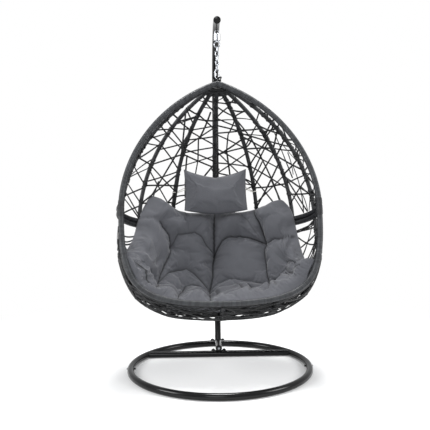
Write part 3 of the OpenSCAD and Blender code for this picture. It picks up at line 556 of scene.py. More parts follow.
def strips_mesh(block, rng):
    """Points, faces with caps, map and tone for a block of strips (n, steps, 8, 3)."""
    n, steps = block.shape[:2]
    tube = grid_quads(steps, 8, True)
    caps = np.array([[0, 1, 2, 3], [0, 3, 4, 5], [0, 5, 6, 7]])
    one = np.concatenate([tube, caps[:, ::-1], caps + (steps - 1) * 8])
    length = np.linalg.norm(block[:, -1, 0] - block[:, 0, 0], axis=-1)[:, None, None]
    u = (np.linspace(0, 1, steps)[None, :, None] * length / 1000
         + np.arange(n)[:, None, None] * 2)
    uv = np.stack(np.broadcast_arrays(u, np.arange(8)[None, None] * 0.6), -1)
    shade = np.broadcast_to(rng.uniform(0, 1, (n, 1, 1)), block.shape[:3])
    return block.reshape(-1, 3), many(one, n, steps * 8), uv.reshape(-1, 2), shade.reshape(-1)


print("out from the middle of the hood's back:", normal_at(hood, 0.5, 90.0).round(2))

# %% [markdown]
# ## Knots
# Where a strand meets a rib it is often taken once round it before it goes on. A knot is
# that turn: a thick closed band round the tube, which leans towards its strand.

# %% Knots
BAND = 2.6  # how far a band stands off its tube, in mm
LEAN = 9    # how far it leans along the tube, in mm


def knots(centre, axis, r, lean, width):
    """Turns of strip round a tube: a ring of 12 by 4 points whose plane leans towards the
    strand. Returns points (n, 12, 4, 3)."""
    axis = unit(axis)
    helper = unit(np.cross(axis, np.array([0.3, 0.9, 0.2])))
    other = np.cross(axis, helper)
    phi = (np.arange(12) * np.pi / 6)[None, :, None]
    out = np.cos(phi) * helper[:, None] + np.sin(phi) * other[:, None]
    tilt = (out * lean[:, None]).sum(-1, keepdims=True)
    along = axis[:, None]
    mid = centre[:, None] + out * np.reshape(r, (-1, 1, 1)) + along * tilt * LEAN
    w = np.reshape(width, (-1, 1, 1)) / 2
    return np.stack([mid - along * w, mid + out * BAND - along * w * 0.6,
                     mid + out * BAND + along * w * 0.6, mid + along * w], 2)


def knots_mesh(block, rng):
    """Closed rings: both directions of the grid wrap round."""
    n = len(block)
    i, j = np.meshgrid(np.arange(12), np.arange(4), indexing="ij")
    i2, j2 = (i + 1) % 12, (j + 1) % 4
    one = np.stack([i * 4 + j, i2 * 4 + j, i2 * 4 + j2, i * 4 + j2], -1).reshape(-1, 4)
    uv = np.stack(np.broadcast_arrays(np.arange(n)[:, None, None] * 1.0 + 0.5,
                                      i[None] * 0.8 + j[None] * 0.3), -1)
    shade = np.broadcast_to(rng.uniform(0, 1, (n, 1, 1)), block.shape[:3])
    return block.reshape(-1, 3), many(one, n, 48), uv.reshape(-1, 2), shade.reshape(-1)


print("a knot stands", BAND, "mm off its tube and leans by", LEAN, "mm")

# %% [markdown]
# ## A set of strands
# One function makes all the strands of a surface from rows of four numbers: the angle and
# the height where each leaves, and where it arrives. It looks up what lies at either end,
# moves the line in front of or behind the ribs, and adds the knots.

# %% Strand set


def strand_set(name, surface, rows, rng, width, knot_share, nodes, follow=0.0, steps=7):
    """Strands and knots from rows of angle, height, angle, height. The line between two tubes
    is a chord, or keeps to the surface by the share called follow. On a rib it passes over or
    under the tube; at the rim it runs into the winding."""
    n = len(rows)
    s = np.linspace(0, 1, steps)[None, :]
    deg = rows[:, [0]] * (1 - s) + rows[:, [2]] * s
    par = rows[:, [1]] * (1 - s) + rows[:, [3]] * s
    nrm = normal_at(surface, par, deg)
    curve = surface(par, deg)
    chord = curve[:, [0]] * (1 - s[..., None]) + curve[:, [-1]] * s[..., None]
    ends = []
    for k in (0, -1):
        rim = (deg[:, k] < 0.1) | (deg[:, k] > 179.9) | (par[:, k] > 0.999)
        on_rib = np.abs(deg[:, k] / RIB_STEP - np.round(deg[:, k] / RIB_STEP)) < 1e-3
        ends.append((rim, on_rib & ~rim))
    side = rng.choice([-1.0, 1.0], n, p=[0.6, 0.4])
    flip = np.where(rng.uniform(size=n) < 0.3, -1.0, 1.0)
    lift = [to * np.where(rib, RIB_R + 1.6, 2.0) for (_, rib), to in zip(ends, (side, side * flip))]
    lift = lift[0][:, None] * (1 - s) + lift[1][:, None] * s
    steep = np.abs(rows[:, 2] - rows[:, 0]) < 12
    share = np.where(steep, 0.95, follow)[:, None, None]
    line = chord + (curve - chord) * share + nrm * lift[..., None]
    way = unit(line[:, -1] - line[:, 0])
    into = [(rim * (RIM_R - 3))[:, None] for rim, _ in ends]
    line += way[:, None] * (into[0] * (1 - s) - into[1] * s)[..., None]
    w = rng.uniform(width[0], width[1], n)
    pts, quads, uv, shade = strips_mesh(strips(line, nrm, w, w * 0.45, rng), rng)
    look = dict(uv=uv, shade=shade, finish=STRIP)
    strands = outward(add_piece(name + "_strands", to_world(pts), quads, **look))
    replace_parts(strands, *nodes)
    rings = []
    for k, (_, rib) in zip((0, -1), ends):
        pick = rib & (rng.uniform(size=n) < knot_share)
        p, d, far = par[pick, k], deg[pick, k], way[pick] * (1 if k == 0 else -1)
        axis = unit(surface(p + 0.005, d) - surface(p - 0.005, d))
        r, broad = np.full(len(p), RIB_R - 0.1), rng.uniform(7.0, 10.5, len(p))
        rings.append(knots(surface(p, d), axis, r, far, broad))
    pts, quads, uv, shade = knots_mesh(np.concatenate(rings), rng)
    look = dict(uv=uv, shade=shade, finish=STRIP)
    outward(add_piece(name + "_knots", to_world(pts), quads, **look))


print("ribs lie every", RIB_STEP, "degrees")

# %% [markdown]
# ## The hood's strands
# Each row gives where a strand leaves one rib and where it reaches the next, as an angle and
# a height. Angles that are multiples of 22.5 are ribs, or the rim at 0 and 180. The others
# end on another strand, or are carried on to the next rib. The outermost bays turn away at
# the sides and are crowded, so they are filled with seeded strands.

# %% Hood strands
HOOD_STRANDS = [
    (135, 0.25, 157.5, 0.246), (135, 0.306, 157.5, 0.294), (135, 0.352, 157.5, 0.34),
    (135, 0.313, 157.5, 0.363), (135, 0.321, 157.5, 0.419), (135, 0.417, 157.5, 0.422),
    (135, 0.424, 157.5, 0.474), (135, 0.432, 157.5, 0.612), (135, 0.566, 157.5, 0.568),
    (135, 0.533, 157.5, 0.683), (135, 0.593, 157.5, 0.73), (135, 0.694, 157.5, 0.612),
    (135, 0.828, 157.5, 0.729), (135, 0.717, 157.5, 0.838), (135, 0.964, 157.5, 0.82),
    (135, 0.863, 157.5, 0.972), (135, 0.985, 157.5, 0.868), (112.5, 0.099, 135, 0.082),
    (112.5, 0.103, 135, 0.105), (112.5, 0.187, 135, 0.172), (112.5, 0.258, 135, 0.183),
    (112.5, 0.221, 135, 0.306), (112.5, 0.189, 135, 0.252), (112.5, 0.3, 135, 0.256),
    (112.5, 0.296, 135, 0.302), (112.5, 0.409, 135, 0.319), (112.5, 0.436, 135, 0.357),
    (120, 0.645, 135, 0.202), (112.5, 0.371, 135, 0.47), (112.5, 0.449, 135, 0.572),
    (112.5, 0.57, 135, 0.428), (112.5, 0.719, 135, 0.574), (120, 0.775, 135, 0.593),
    (112.5, 0.581, 135, 0.69), (112.5, 0.675, 135, 0.707), (119.5, 0.52, 124.5, 0.66),
    (124.5, 0.66, 125.5, 0.75), (112.5, 0.602, 135, 0.834), (112.5, 0.801, 135, 0.84),
    (112.5, 0.729, 119.2, 0.865), (112.5, 0.836, 135, 0.922), (90, 0.099, 112.5, 0.093),
    (90, 0.183, 112.5, 0.114), (90, 0.141, 112.5, 0.152), (97, 0.17, 102.2, 0.33),
    (90, 0.292, 112.5, 0.197), (90, 0.218, 112.5, 0.214), (90, 0.25, 112.5, 0.286),
    (90, 0.38, 112.5, 0.3), (90, 0.258, 112.5, 0.399), (90, 0.321, 112.5, 0.353),
    (100.8, 0.49, 103.2, 0.35), (100.8, 0.49, 101.5, 0.605), (90, 0.394, 112.5, 0.441),
    (90, 0.493, 112.5, 0.417), (90, 0.543, 112.5, 0.459), (108, 0.575, 109.2, 0.46),
    (90, 0.464, 112.5, 0.549), (90, 0.508, 95, 0.595), (107.2, 0.665, 112.5, 0.683),
    (105.8, 0.74, 112.5, 0.757), (104.5, 0.76, 112.5, 0.826), (67.5, 0.072, 90, 0.091),
    (67.5, 0.114, 90, 0.101), (67.5, 0.195, 90, 0.141), (67.5, 0.133, 90, 0.204),
    (67.5, 0.219, 90, 0.218), (67.5, 0.286, 90, 0.214), (67.5, 0.296, 90, 0.262),
    (67.5, 0.219, 78.8, 0.32), (78.8, 0.32, 81.5, 0.425), (80.8, 0.6, 81.5, 0.425),
    (67.5, 0.311, 90, 0.315), (67.5, 0.413, 90, 0.319), (67.5, 0.361, 90, 0.472),
    (67.5, 0.556, 90, 0.397), (76, 0.585, 90, 0.409), (67.5, 0.419, 90, 0.463),
    (67.5, 0.449, 90, 0.595), (67.5, 0.543, 90, 0.501), (83, 0.59, 90, 0.568),
    (67.5, 0.662, 72.8, 0.625), (67.5, 0.679, 73.5, 0.66), (67.5, 0.683, 73.8, 0.72),
    (45, 0.124, 67.5, 0.099), (45, 0.108, 67.5, 0.124), (45, 0.185, 67.5, 0.151),
    (45, 0.183, 67.5, 0.202), (45, 0.244, 67.5, 0.227), (59.8, 0.36, 67.5, 0.235),
    (57.2, 0.515, 59.8, 0.36), (55.2, 0.655, 57.2, 0.515), (51.8, 0.83, 55.2, 0.655),
    (61.5, 0.31, 67.5, 0.29), (45, 0.325, 61.5, 0.31), (45, 0.359, 67.5, 0.317),
    (58.5, 0.355, 67.5, 0.355), (45, 0.396, 58.5, 0.355), (53.2, 0.425, 67.5, 0.327),
    (45, 0.485, 53.2, 0.425), (45, 0.285, 60, 0.37), (60, 0.37, 67.5, 0.422),
    (45, 0.447, 67.5, 0.42), (45, 0.396, 67.5, 0.539), (45, 0.618, 67.5, 0.44),
    (45, 0.411, 57.8, 0.525), (57.8, 0.525, 67.5, 0.635), (45, 0.489, 67.5, 0.702),
    (45, 0.759, 67.5, 0.549), (57.5, 0.81, 67.5, 0.602), (57.5, 0.705, 67.5, 0.696),
    (45, 0.707, 57.5, 0.705), (45, 0.566, 61, 0.77), (45, 0.654, 61, 0.77),
    (22.5, 0.231, 45, 0.271), (22.5, 0.396, 45, 0.273), (22.5, 0.321, 45, 0.373),
    (22.5, 0.378, 45, 0.336), (22.5, 0.348, 45, 0.376), (31, 0.4, 45, 0.459),
    (22.5, 0.518, 45, 0.39), (22.5, 0.401, 22.5, 0.457), (22.5, 0.449, 45, 0.516),
    (22.5, 0.539, 45, 0.464), (22.5, 0.595, 32, 0.465), (30.5, 0.515, 33.5, 0.58),
    (22.5, 0.656, 45, 0.52), (22.5, 0.585, 45, 0.646), (30.8, 0.52, 32.8, 0.575),
    (32.5, 0.61, 33.5, 0.75), (22.5, 0.707, 45, 0.706), (32.5, 0.765, 45, 0.637),
    (22.5, 0.891, 32.5, 0.765), (22.5, 0.742, 45, 0.87), (22.5, 0.843, 45, 0.788),
    (34.2, 0.895, 45, 0.665), (39.5, 0.85, 45, 0.715), (22.5, 0.744, 28.2, 0.915),
    (31.5, 0.92, 32.8, 0.82), (0, 0.204, 22.5, 0.191), (0, 0.241, 22.5, 0.191),
    (0, 0.292, 22.5, 0.302), (0, 0.384, 22.5, 0.434), (0, 0.531, 22.5, 0.438),
    (0, 0.585, 22.5, 0.449), (0, 0.589, 22.5, 0.568), (0, 0.646, 22.5, 0.556),
    (0, 0.707, 22.5, 0.574), (0, 0.711, 22.5, 0.692), (0, 0.778, 22.5, 0.702),
    (0, 0.878, 22.5, 0.729), (0, 0.945, 22.5, 0.855), (0, 0.983, 22.5, 0.885),
    (0, 0.985, 22.5, 0.82),
]
rng = np.random.default_rng(12)
rows = [np.array(HOOD_STRANDS)]
for rib, rim, fill in ((157.5, 180.0, 24), (22.5, 0.0, 14)):
    t0 = 0.17 + 0.78 * (np.arange(fill) + 0.5) / fill
    rows.append(np.stack([np.full(fill, rib), t0 + rng.uniform(-0.1, 0.1, fill),
                          np.full(fill, rim), t0 + rng.uniform(-0.1, 0.1, fill)], -1))
rows = np.concatenate(rows)
print(len(HOOD_STRANDS), "strands placed,", len(rows) - len(HOOD_STRANDS), "seeded")

# %% Loose ends carried on
HOOP_T = 0.955  # where the upper hoop's top edge lies on the hood


def run_on(rows):
    """An end between two ribs is carried on, as rise over run, to the next rib or the hoop, if
    it is low down or the rib is near."""
    for a, b in (((0, 1), (2, 3)), ((2, 3), (0, 1))):
        at, par = rows[:, b[0]], rows[:, b[1]]
        turn, drop = at - rows[:, a[0]], par - rows[:, a[1]]
        loose = np.abs(at / RIB_STEP - np.round(at / RIB_STEP)) > 1e-3
        rib = np.where(turn > 0, np.ceil(at / RIB_STEP), np.floor(at / RIB_STEP)) * RIB_STEP
        ahead = np.abs(rib - at)
        to_rib = ahead / np.maximum(np.abs(turn), 1e-6)
        to_hoop = np.maximum(HOOP_T - par, 0) / np.maximum(drop, 1e-6)
        low = (drop > 0.02) & (par > 0.55)
        near_rib = ahead < np.minimum(10, 1.2 * np.abs(turn))
        far = np.where(loose & low, np.minimum(np.minimum(to_rib, to_hoop), 1.6),
                       np.where(loose & near_rib, to_rib, 0))
        rows[:, b[0]], rows[:, b[1]] = at + turn * far, par + drop * far
    return rows


strand_set("hood", hood, run_on(rows), rng, width=(8.4, 10.8), knot_share=0.62,
           nodes=[f"hood_wicker_{k}" for k in range(1, 9)])

# %% [markdown]
# ## The bowl's strands
# The bowl carries the sitter, so it is woven far more closely, and closest under the front.
# The strands are seeded: each bay gets its own, with more of them towards the mouth. They keep
# to the round of the bowl, since each one is held down by those that cross it. The bays beside
# the mouth are narrow wedges, and their strands run from the rim back to the first rib.

# %% Bowl strands
PER_BAY, PER_SIDE = 72, 34
rng = np.random.default_rng(5)
rows = []
for k in range(2, 8):
    v = np.concatenate([rng.uniform(0.07, 0.98, 30), rng.uniform(0.5, 1.0, PER_BAY - 30)])
    ends = [np.clip(v + rng.normal(0, 0.13, PER_BAY), 0.06, 0.985) for _ in range(2)]
    rows.append(np.stack([np.full(PER_BAY, RIB_STEP * (k - 1)), ends[0],
                          np.full(PER_BAY, RIB_STEP * k), ends[1]], -1))
strand_set("bowl", bowl, np.concatenate(rows), rng, width=(8.0, 10.6), knot_share=0.4,
           nodes=[f"bowl_wicker_{k}" for k in range(2, 8)], follow=0.8)
rows = []
for rib, start, way in ((22.5, 0, 90), (157.5, 180, -90)):
    t = np.concatenate([np.linspace(0.04, 0.245, 20), rng.uniform(0.03, 0.245, PER_SIDE - 20)])
    v = np.clip(t * 3.6 + rng.normal(0, 0.11, PER_SIDE), 0.06, 0.97)
    rows.append(np.stack([start + way * t, np.ones(PER_SIDE), np.full(PER_SIDE, rib), v], -1))
strand_set("bowl_side", bowl, np.concatenate(rows), rng, width=(6.8, 8.8), knot_share=0.4,
           nodes=["bowl_wicker_1", "bowl_wicker_8"], follow=0.9)

# %% [markdown]
# ## Finish of the cushions
# The covers are plain-woven grey polyester. Threads lie about 0.5 mm apart, too fine to
# show, so the weave is drawn at 1.5 mm. Slight unevenness in the yarn gives a soft melange,
# and the fibres scatter a thin sheen at grazing angles. Along seams and in deep folds hardly
# any light gets between the two sides of the cloth, so there the piece's own shade values
# mix in a near-black colour: painted shade.

# %% Fabric finish
THREAD = 1.5  # thread spacing as drawn, in mm


def fabric():
    """Plain weave: height = sin(u) sin(v) on the piece's own map, in millimetres."""
    mat, shader = new_finish("grey polyester plain weave", IOR=1.46, Specular_IOR_Level=0.25,
                             Sheen_Weight=0.25, Sheen_Roughness=0.45, Roughness=0.85)
    uv = node(mat, "UVMap", uv_map="along").outputs["UV"]
    split = node(mat, "SeparateXYZ", [("Vector", uv)])
    waves = []
    for axis in ("X", "Y"):
        scaled = node(mat, "Math", [(0, split.outputs[axis]), (1, 2 * math.pi / THREAD)],
                      operation="MULTIPLY")
        waves.append(node(mat, "Math", [(0, scaled.outputs[0])], operation="SINE").outputs[0])
    weave = node(mat, "Math", [(0, waves[0]), (1, waves[1])], operation="MULTIPLY")
    place = node(mat, "TexCoord").outputs["Object"]
    yarn = node(mat, "TexNoise", [("Vector", uv)], Scale=0.45, Detail=3.0)
    cloud = node(mat, "TexNoise", [("Vector", place)], Scale=7.0, Detail=3.0).outputs["Fac"]
    both = node(mat, "Math", [(0, yarn.outputs["Fac"]), (1, cloud)], operation="ADD")
    mean = node(mat, "Math", [(0, both.outputs[0]), (1, 0.5)], operation="MULTIPLY")
    grey = node(mat, "ValToRGB", [("Fac", mean.outputs[0])], [(0.3, "#515257"), (0.7, "#5f6065")])
    # The shade attribute mixes in near-black: painted shade along seams and in folds.
    seam = node(mat, "Attribute", attribute_name="shade")
    grey_with_painted_shade = node(mat, "Mix", [(0, seam.outputs["Fac"]), (6, grey.outputs["Color"]),
                             (7, srgb("#1b1c1e"))], data_type="RGBA")
    bump = node(mat, "Bump", [("Height", weave.outputs[0])], Strength=0.25, Distance=0.0004)
    soft = node(mat, "Bump", [("Height", cloud), ("Normal", bump.outputs["Normal"])],
                Strength=0.25, Distance=0.004)
    return feed(mat, shader, Base_Color=grey_with_painted_shade.outputs[2], Normal=soft.outputs["Normal"])


CLOTH = fabric()
print("cushion cover:", CLOTH.name, "drawn at", THREAD, "mm")

# %% [markdown]
# ## Inflating a cover
# A cushion is a flat cover that its filling pushes out, held back by its seams. That is what
# the cloth solver does: pressure pushes the cover, and the points on the seams are pinned.
# Gravity is off, since the shape already rests in the basket. The solver works on a passing
# object, and only its moves are kept, each one limited to a set distance.

# %% Cloth helper


def inflate(points, quads, pins, pressure, reach, frames=18, shrink=-0.04):
    """Cloth for a few frames on a passing object; returns moves d as d / (1 + |d| / reach)."""
    me = bpy.data.meshes.new("trial cover")
    me.from_pydata(points.tolist(), [], quads.tolist())
    obj = bpy.data.objects.new("trial cover", me)
    bpy.context.scene.collection.objects.link(obj)
    group = obj.vertex_groups.new(name="held")
    pins = np.round(pins, 1)
    for level in np.unique(pins[pins > 0]):
        group.add(np.nonzero(pins == level)[0].tolist(), float(level), "REPLACE")
    cloth = obj.modifiers.new("filling", "CLOTH")
    cloth.settings.quality = 5
    cloth.settings.mass = 0.3
    cloth.settings.use_pressure = True
    cloth.settings.uniform_pressure_force = pressure
    cloth.settings.vertex_group_mass = "held"
    cloth.settings.shrink_min = shrink
    cloth.settings.bending_stiffness = 0.2
    cloth.settings.effector_weights.gravity = 0
    cloth.collision_settings.use_self_collision = False
    cloth.point_cache.frame_start, cloth.point_cache.frame_end = 1, frames
    for f in range(1, frames + 1):
        bpy.context.scene.frame_set(f)
    baked = obj.evaluated_get(bpy.context.evaluated_depsgraph_get()).to_mesh()
    moved = np.empty(len(baked.vertices) * 3, np.float32)
    baked.vertices.foreach_get("co", moved)
    step = moved.reshape(-1, 3) - points
    bpy.context.scene.frame_set(1)
    bpy.data.objects.remove(obj)
    bpy.data.meshes.remove(me)
    far = np.linalg.norm(step, axis=1, keepdims=True)
    print("cover swelled by up to", round(float(far.max()) * 1000, 1), "mm, kept under",
          round(reach * 1000), "mm")
    return step / (1 + far / reach)


def ripple(x, y, size, seed, count=14):
    """Smooth random height: a sum of sine waves in seeded directions, of about this size."""
    r = np.random.default_rng(seed)
    total = 0
    for _ in range(count):
        turn = r.uniform(0, 2 * np.pi)
        k = 2 * np.pi / (size * r.uniform(0.7, 1.6))
        ph = r.uniform(0, 2 * np.pi)
        total = total + np.sin((x * np.cos(turn) + y * np.sin(turn)) * k + ph)
    return total / math.sqrt(count)


print("a ripple rises and falls by", round(float(np.ptp(ripple(np.arange(1000.0), 0, 150, 3))), 2))

# %% [markdown]
# ## What the seat cushion lies on
# The pad lines the inside of the basket, so its underside follows the bowl and, above the
# seam, the hood. Both can be reached by one function, because each has the same angle, and
# the height simply runs on above the seam as negative numbers.

# %% Inside of the basket
HEART = np.array([0, 0.42 * DEPTH, -0.95 * SEAM])  # a point in the free space over the seat
HOOD_RISE = 700  # mm of height on the hood for each unit of v above the seam
table_t = np.linspace(0, 1, 2001)
table_u = bez(HOOD_SIDE, table_t)[:, 1]


def t_of(u):
    """Height to t: the side curve's table read backwards."""
    return np.interp(-np.asarray(u), -table_u, table_t)


def wall(v, deg):
    """Inside of the basket: the bowl, and above it the hood by HOOD_RISE for each v."""
    v, deg = np.broadcast_arrays(np.asarray(v, float), np.asarray(deg, float))
    over = hood(t_of(-SEAM - HOOD_RISE * v), deg)
    return np.where((v < 0)[..., None], over, bowl(np.maximum(v, 0), deg))


print("the seam lies at t =", round(float(t_of(-SEAM)), 3), "of the hood")

# %% [markdown]
# ## The seat cushion's two sides
# The pad climbs into two ears at the sides, dips behind the head, and rolls over the front.
# A table gives the height of its top edge at each angle, smoothed with a rounded window. The
# upper side stands off the underside by the thickness, which runs out towards the edges.

# %% Seat surfaces
SEAT_FROM, SEAT_TO, SEAT_FRONT = 25.0, 158.0, 0.9
FULL, UNDER, HOLLOW, EDGE = 118, 15.4, 8, 0.12  # thickness, gap to ribs, sag between, at edge
SEAT_TOP = np.array([(12, 0.78), (25, 0.68), (30, 0.47), (35, 0.28), (40, 0.1), (44, -0.1),
                     (50, -0.21), (57, -0.18), (66, -0.15), (74, -0.13), (106, -0.13),
                     (113, -0.15), (123, -0.22), (130, -0.26), (135, -0.1), (140, 0.02),
                     (150, 0.2), (156, 0.36), (168, 0.68)])
top_deg = np.arange(0, 180.1, 0.5)
window = np.hanning(15)[1:-1]
top_height = np.pad(np.interp(top_deg, SEAT_TOP[:, 0], SEAT_TOP[:, 1]), 6, mode="edge")
top_height = np.convolve(top_height, window / window.sum(), "valid")


def seat_base(deg, w):
    """Underside: wall plus its inward normal times gap and the hollow between ribs."""
    top = np.interp(deg, top_deg, top_height)
    v = top + (SEAT_FRONT - top) * w
    n = unit(np.cross(wall(v, deg + 1) - wall(v, deg - 1),
                      wall(v + 0.01, deg) - wall(v - 0.01, deg)))
    return wall(v, deg) + n * (UNDER + HOLLOW * (1 - np.cos(np.radians(16 * deg))))[..., None]


def seat_fullness(deg, w):
    """Share of the thickness: 1 inside, falling to EDGE at the border as an 8th power."""
    across = (deg - (SEAT_FROM + SEAT_TO) / 2) / ((SEAT_TO - SEAT_FROM) / 2)
    e = np.maximum(0, 1 - np.abs(across) ** 8) * np.maximum(0, 1 - np.abs(2 * w - 1) ** 8)
    return EDGE + (1 - EDGE) * np.sqrt(e)


def seat_crown(deg, w):
    """Upper side before the seams: base plus thickness towards the heart of the basket."""
    p = seat_base(deg, w)
    return p + unit(HEART - p) * (FULL * seat_fullness(deg, w))[..., None]


print("top edge from v", round(float(top_height.min()), 2), "to", round(float(top_height.max()), 2))

# %% [markdown]
# ## Seams and tufts of the seat
# The cover is sewn through to the underside along lines, most of all at the tufts, where the
# lines meet. Each seam is a strength and a path, given as an angle and a share w of the way
# from the top edge to the front.

# %% Seams and tufts
SEAMS = [
    (1.0, [(90.5, 0.0), (91.5, 0.18), (91.5, 0.3), (92.5, 0.37), (92.8, 0.47), (94.5, 0.575),
           (94.5, 0.745), (94.5, 1.0)]),
    (0.8, [(132.8, 0.165), (129, 0.245), (123.5, 0.268), (120, 0.31), (122.5, 0.39),
           (125.8, 0.482), (127.5, 0.57), (128.2, 0.657), (128.8, 0.945)]),
    (0.25, [(75, 0.0), (66, 0.147), (58.5, 0.273)]),
    (1.0, [(66, 0.0), (60.2, 0.17), (57.2, 0.29), (58.8, 0.333), (59.2, 0.41), (60, 0.522),
           (60.5, 0.608)]),
    (0.5, [(92, 0.29), (97, 0.255), (101, 0.212), (105.5, 0.18), (112.5, 0.205),
           (118.2, 0.242), (120, 0.31)]),
    (0.9, [(91.5, 0.3), (89.2, 0.258), (86.2, 0.225), (81.5, 0.21), (74.2, 0.2),
           (66.5, 0.235), (61.2, 0.265), (57.2, 0.29)]),
    (0.65, [(57.2, 0.29), (54, 0.303), (50, 0.295), (47, 0.27), (45, 0.245), (43, 0.19),
            (41, 0.094), (39.5, 0.0)]),
    (0.6, [(128.2, 0.657), (122.5, 0.532), (115, 0.455), (109.5, 0.43), (104.8, 0.46),
           (99.5, 0.517), (94.8, 0.578)]),
    (0.55, [(41.5, 0.393), (34, 0.245), (30, 0.5)]),
    (0.75, [(110, 1.0), (112, 0.805), (109, 0.6), (105, 0.565), (101.2, 0.585), (97.5, 0.613)]),
    (0.5, [(60.5, 0.608), (52, 0.608), (43.5, 0.537), (32.2, 0.95)]),
    (0.45, [(94.5, 0.575), (90.2, 0.53), (84.5, 0.522), (77.5, 0.542), (70.2, 0.56),
            (60.5, 0.608)]),
    (0.4, [(128.2, 0.657), (136, 0.6), (145, 0.55), (156, 0.6)]),
    (0.8, [(133, 0.93), (136, 0.9), (144, 0.86), (152, 0.8), (156, 0.74)]),
]
TUFTS = [(91.5, 0.3), (120, 0.31), (57.2, 0.29), (94, 0.575), (128.2, 0.657), (60.5, 0.608)]
COLS, ROWS = 301, 181
deg, w = np.meshgrid(np.linspace(SEAT_FROM, SEAT_TO, COLS), np.linspace(0, 1, ROWS), indexing="ij")
low, high = seat_base(deg, w), seat_crown(deg, w)
towards = unit(HEART - low)


def along_seams(table):
    """Nearest distance in mm from each upper point to the seams, and that seam's strength."""
    near, power = np.full(high.shape[:2], 1e3), np.zeros(high.shape[:2])
    for strength, path in table:
        p = np.array(path, float)
        s = np.linspace(0, len(p) - 1, 90)
        line = seat_crown(*(np.interp(s, range(len(p)), p[:, k]) for k in (0, 1)))
        for a, d in zip(line[:-1], np.diff(line, axis=0)):
            share = np.clip(((high - a) @ d) / (d @ d + 1e-9), 0, 1)
            gap = np.linalg.norm(high - a - share[..., None] * d, axis=-1)
            power = np.where(gap < near, strength, power)
            near = np.minimum(near, gap)
    return near, power


near, power = along_seams(SEAMS)
print(len(SEAMS), "seams,", len(TUFTS), "tufts; nearest point", round(float(near.min()), 2), "mm")

# %% [markdown]
# ## Drawing the cover down
# Round each seam the cover sinks as a narrow stitch in a wide valley, and at each tuft as a
# pit from which gathers fan out. What sinks here is the start of the filling below; the
# gathers, folds and hem are kept apart as detail and added after it, since the pressure of
# the filling would smooth them away.

# %% Stitches, tufts and folds
STITCH, VALLEY = (13, 5), (24, 40)   # depth and reach in mm, for a seam
PIT, DISH = (20, 14), (14, 60)       # the same for a tuft
GATHERS, PLEATS, HEM = 4.2, 23, 3.0  # heights in mm
TUCK = 34                            # how far the cover is tucked in at the far front corner

sink = power * (STITCH[0] * np.exp(-near / STITCH[1])
                + VALLEY[0] * np.exp(-(near / VALLEY[1]) ** 2))
detail = np.zeros_like(sink)
for at_deg, at_w in TUFTS:
    away = high - seat_crown(np.array(at_deg), np.array(at_w))
    d = np.linalg.norm(away, axis=-1)
    ang = np.arctan2(away[..., 2], away[..., 0])
    sink = sink + PIT[0] * np.exp(-d / PIT[1]) + DISH[0] * np.exp(-(d / DISH[1]) ** 2)
    detail = detail + (GATHERS * np.sin(8 * ang + 1.3 * np.sin(2 * ang + at_deg))
                       * np.exp(-d / 45) * (1 - np.exp(-(d / 22) ** 2)))

fullness = seat_fullness(deg, w)
front = np.clip((w - 0.55) / 0.07, 0, 1) * np.clip((0.97 - w) / 0.15, 0, 1)
gather = deg + 4 * np.sin(w * 11) + 2.5 * np.sin(deg * 0.37 + 4 * w)
pleat = np.exp(-(np.sin(gather * 0.34) / 0.4) ** 2)
right_only = np.clip((95 - deg) / 4, 0, 1) * np.clip((deg - 36) / 14, 0.2, 1)
folds = PLEATS * pleat * front * right_only + 3 * np.sin(gather * 0.8) * front
hem = (HEM * np.sin(deg * 1.9 + 2 * np.sin(deg * 0.31))
       * np.exp(-((1 - w) / 0.06) ** 2 / 2))
tuck = np.interp(deg, [129, 136, 144, 152, 158], [1.1, 0.9, 0.86, 0.8, 0.72])
sink = sink + TUCK * np.clip((w - tuck) / 0.05, 0, 1)
sink = np.minimum(sink, 0.62 * FULL * fullness) - 5 * fullness * ripple(deg * 9, w * 900, 150, 3)
detail = detail + folds - hem - 1.1 * fullness * ripple(deg * 9, w * 900, 60, 4)
room = np.clip(fullness * 1.2, 0, 1)[..., None]
upper = high - towards * sink[..., None] * room
print("seat cushion: deepest tuft", round(float(sink.max())), "mm")

# %% [markdown]
# ## The seat cushion's mesh
# The two sides are grids, joined round the border through a mid line. The filling is worked
# out on every second row and column, and the moves are then spread over the fine grid by
# linear interpolation. The stitch line keeps its own fine shape.

# %% Closed pad


def grid_edge(cols, rows):
    """Indices round the border of a cols x rows grid, in order."""
    return np.concatenate([np.arange(cols) * rows, (cols - 1) * rows + np.arange(1, rows),
                           np.arange(cols - 2, -1, -1) * rows + rows - 1,
                           np.arange(rows - 2, 0, -1)])


def closed_pad(low, high):
    """Two grids joined round the border by a mid line: points, faces."""
    cols, rows = low.shape[:2]
    total, edge = cols * rows, grid_edge(cols, rows)
    mid = (low.reshape(-1, 3)[edge] + high.reshape(-1, 3)[edge]) / 2
    nxt = np.roll(edge, -1)
    m0 = 2 * total + np.arange(len(edge))
    m1 = np.roll(m0, -1)
    face = grid_quads(cols, rows, False)
    quads = np.concatenate([face, face[:, ::-1] + total, np.stack([edge, nxt, m1, m0], -1),
                            np.stack([m0, m1, nxt + total, edge + total], -1)])
    return np.concatenate([low.reshape(-1, 3), high.reshape(-1, 3), mid]), quads


def spread(coarse):
    """Linear interpolation from every second row and column back to the full grid."""
    fine = np.zeros((2 * coarse.shape[0] - 1, coarse.shape[1], 3))
    fine[::2], fine[1::2] = coarse, (coarse[1:] + coarse[:-1]) / 2
    full = np.zeros((fine.shape[0], 2 * fine.shape[1] - 1, 3))
    full[:, ::2], full[:, 1::2] = fine, (fine[:, 1:] + fine[:, :-1]) / 2
    return full


print("border of the seat's grid:", len(grid_edge(COLS, ROWS)), "points")

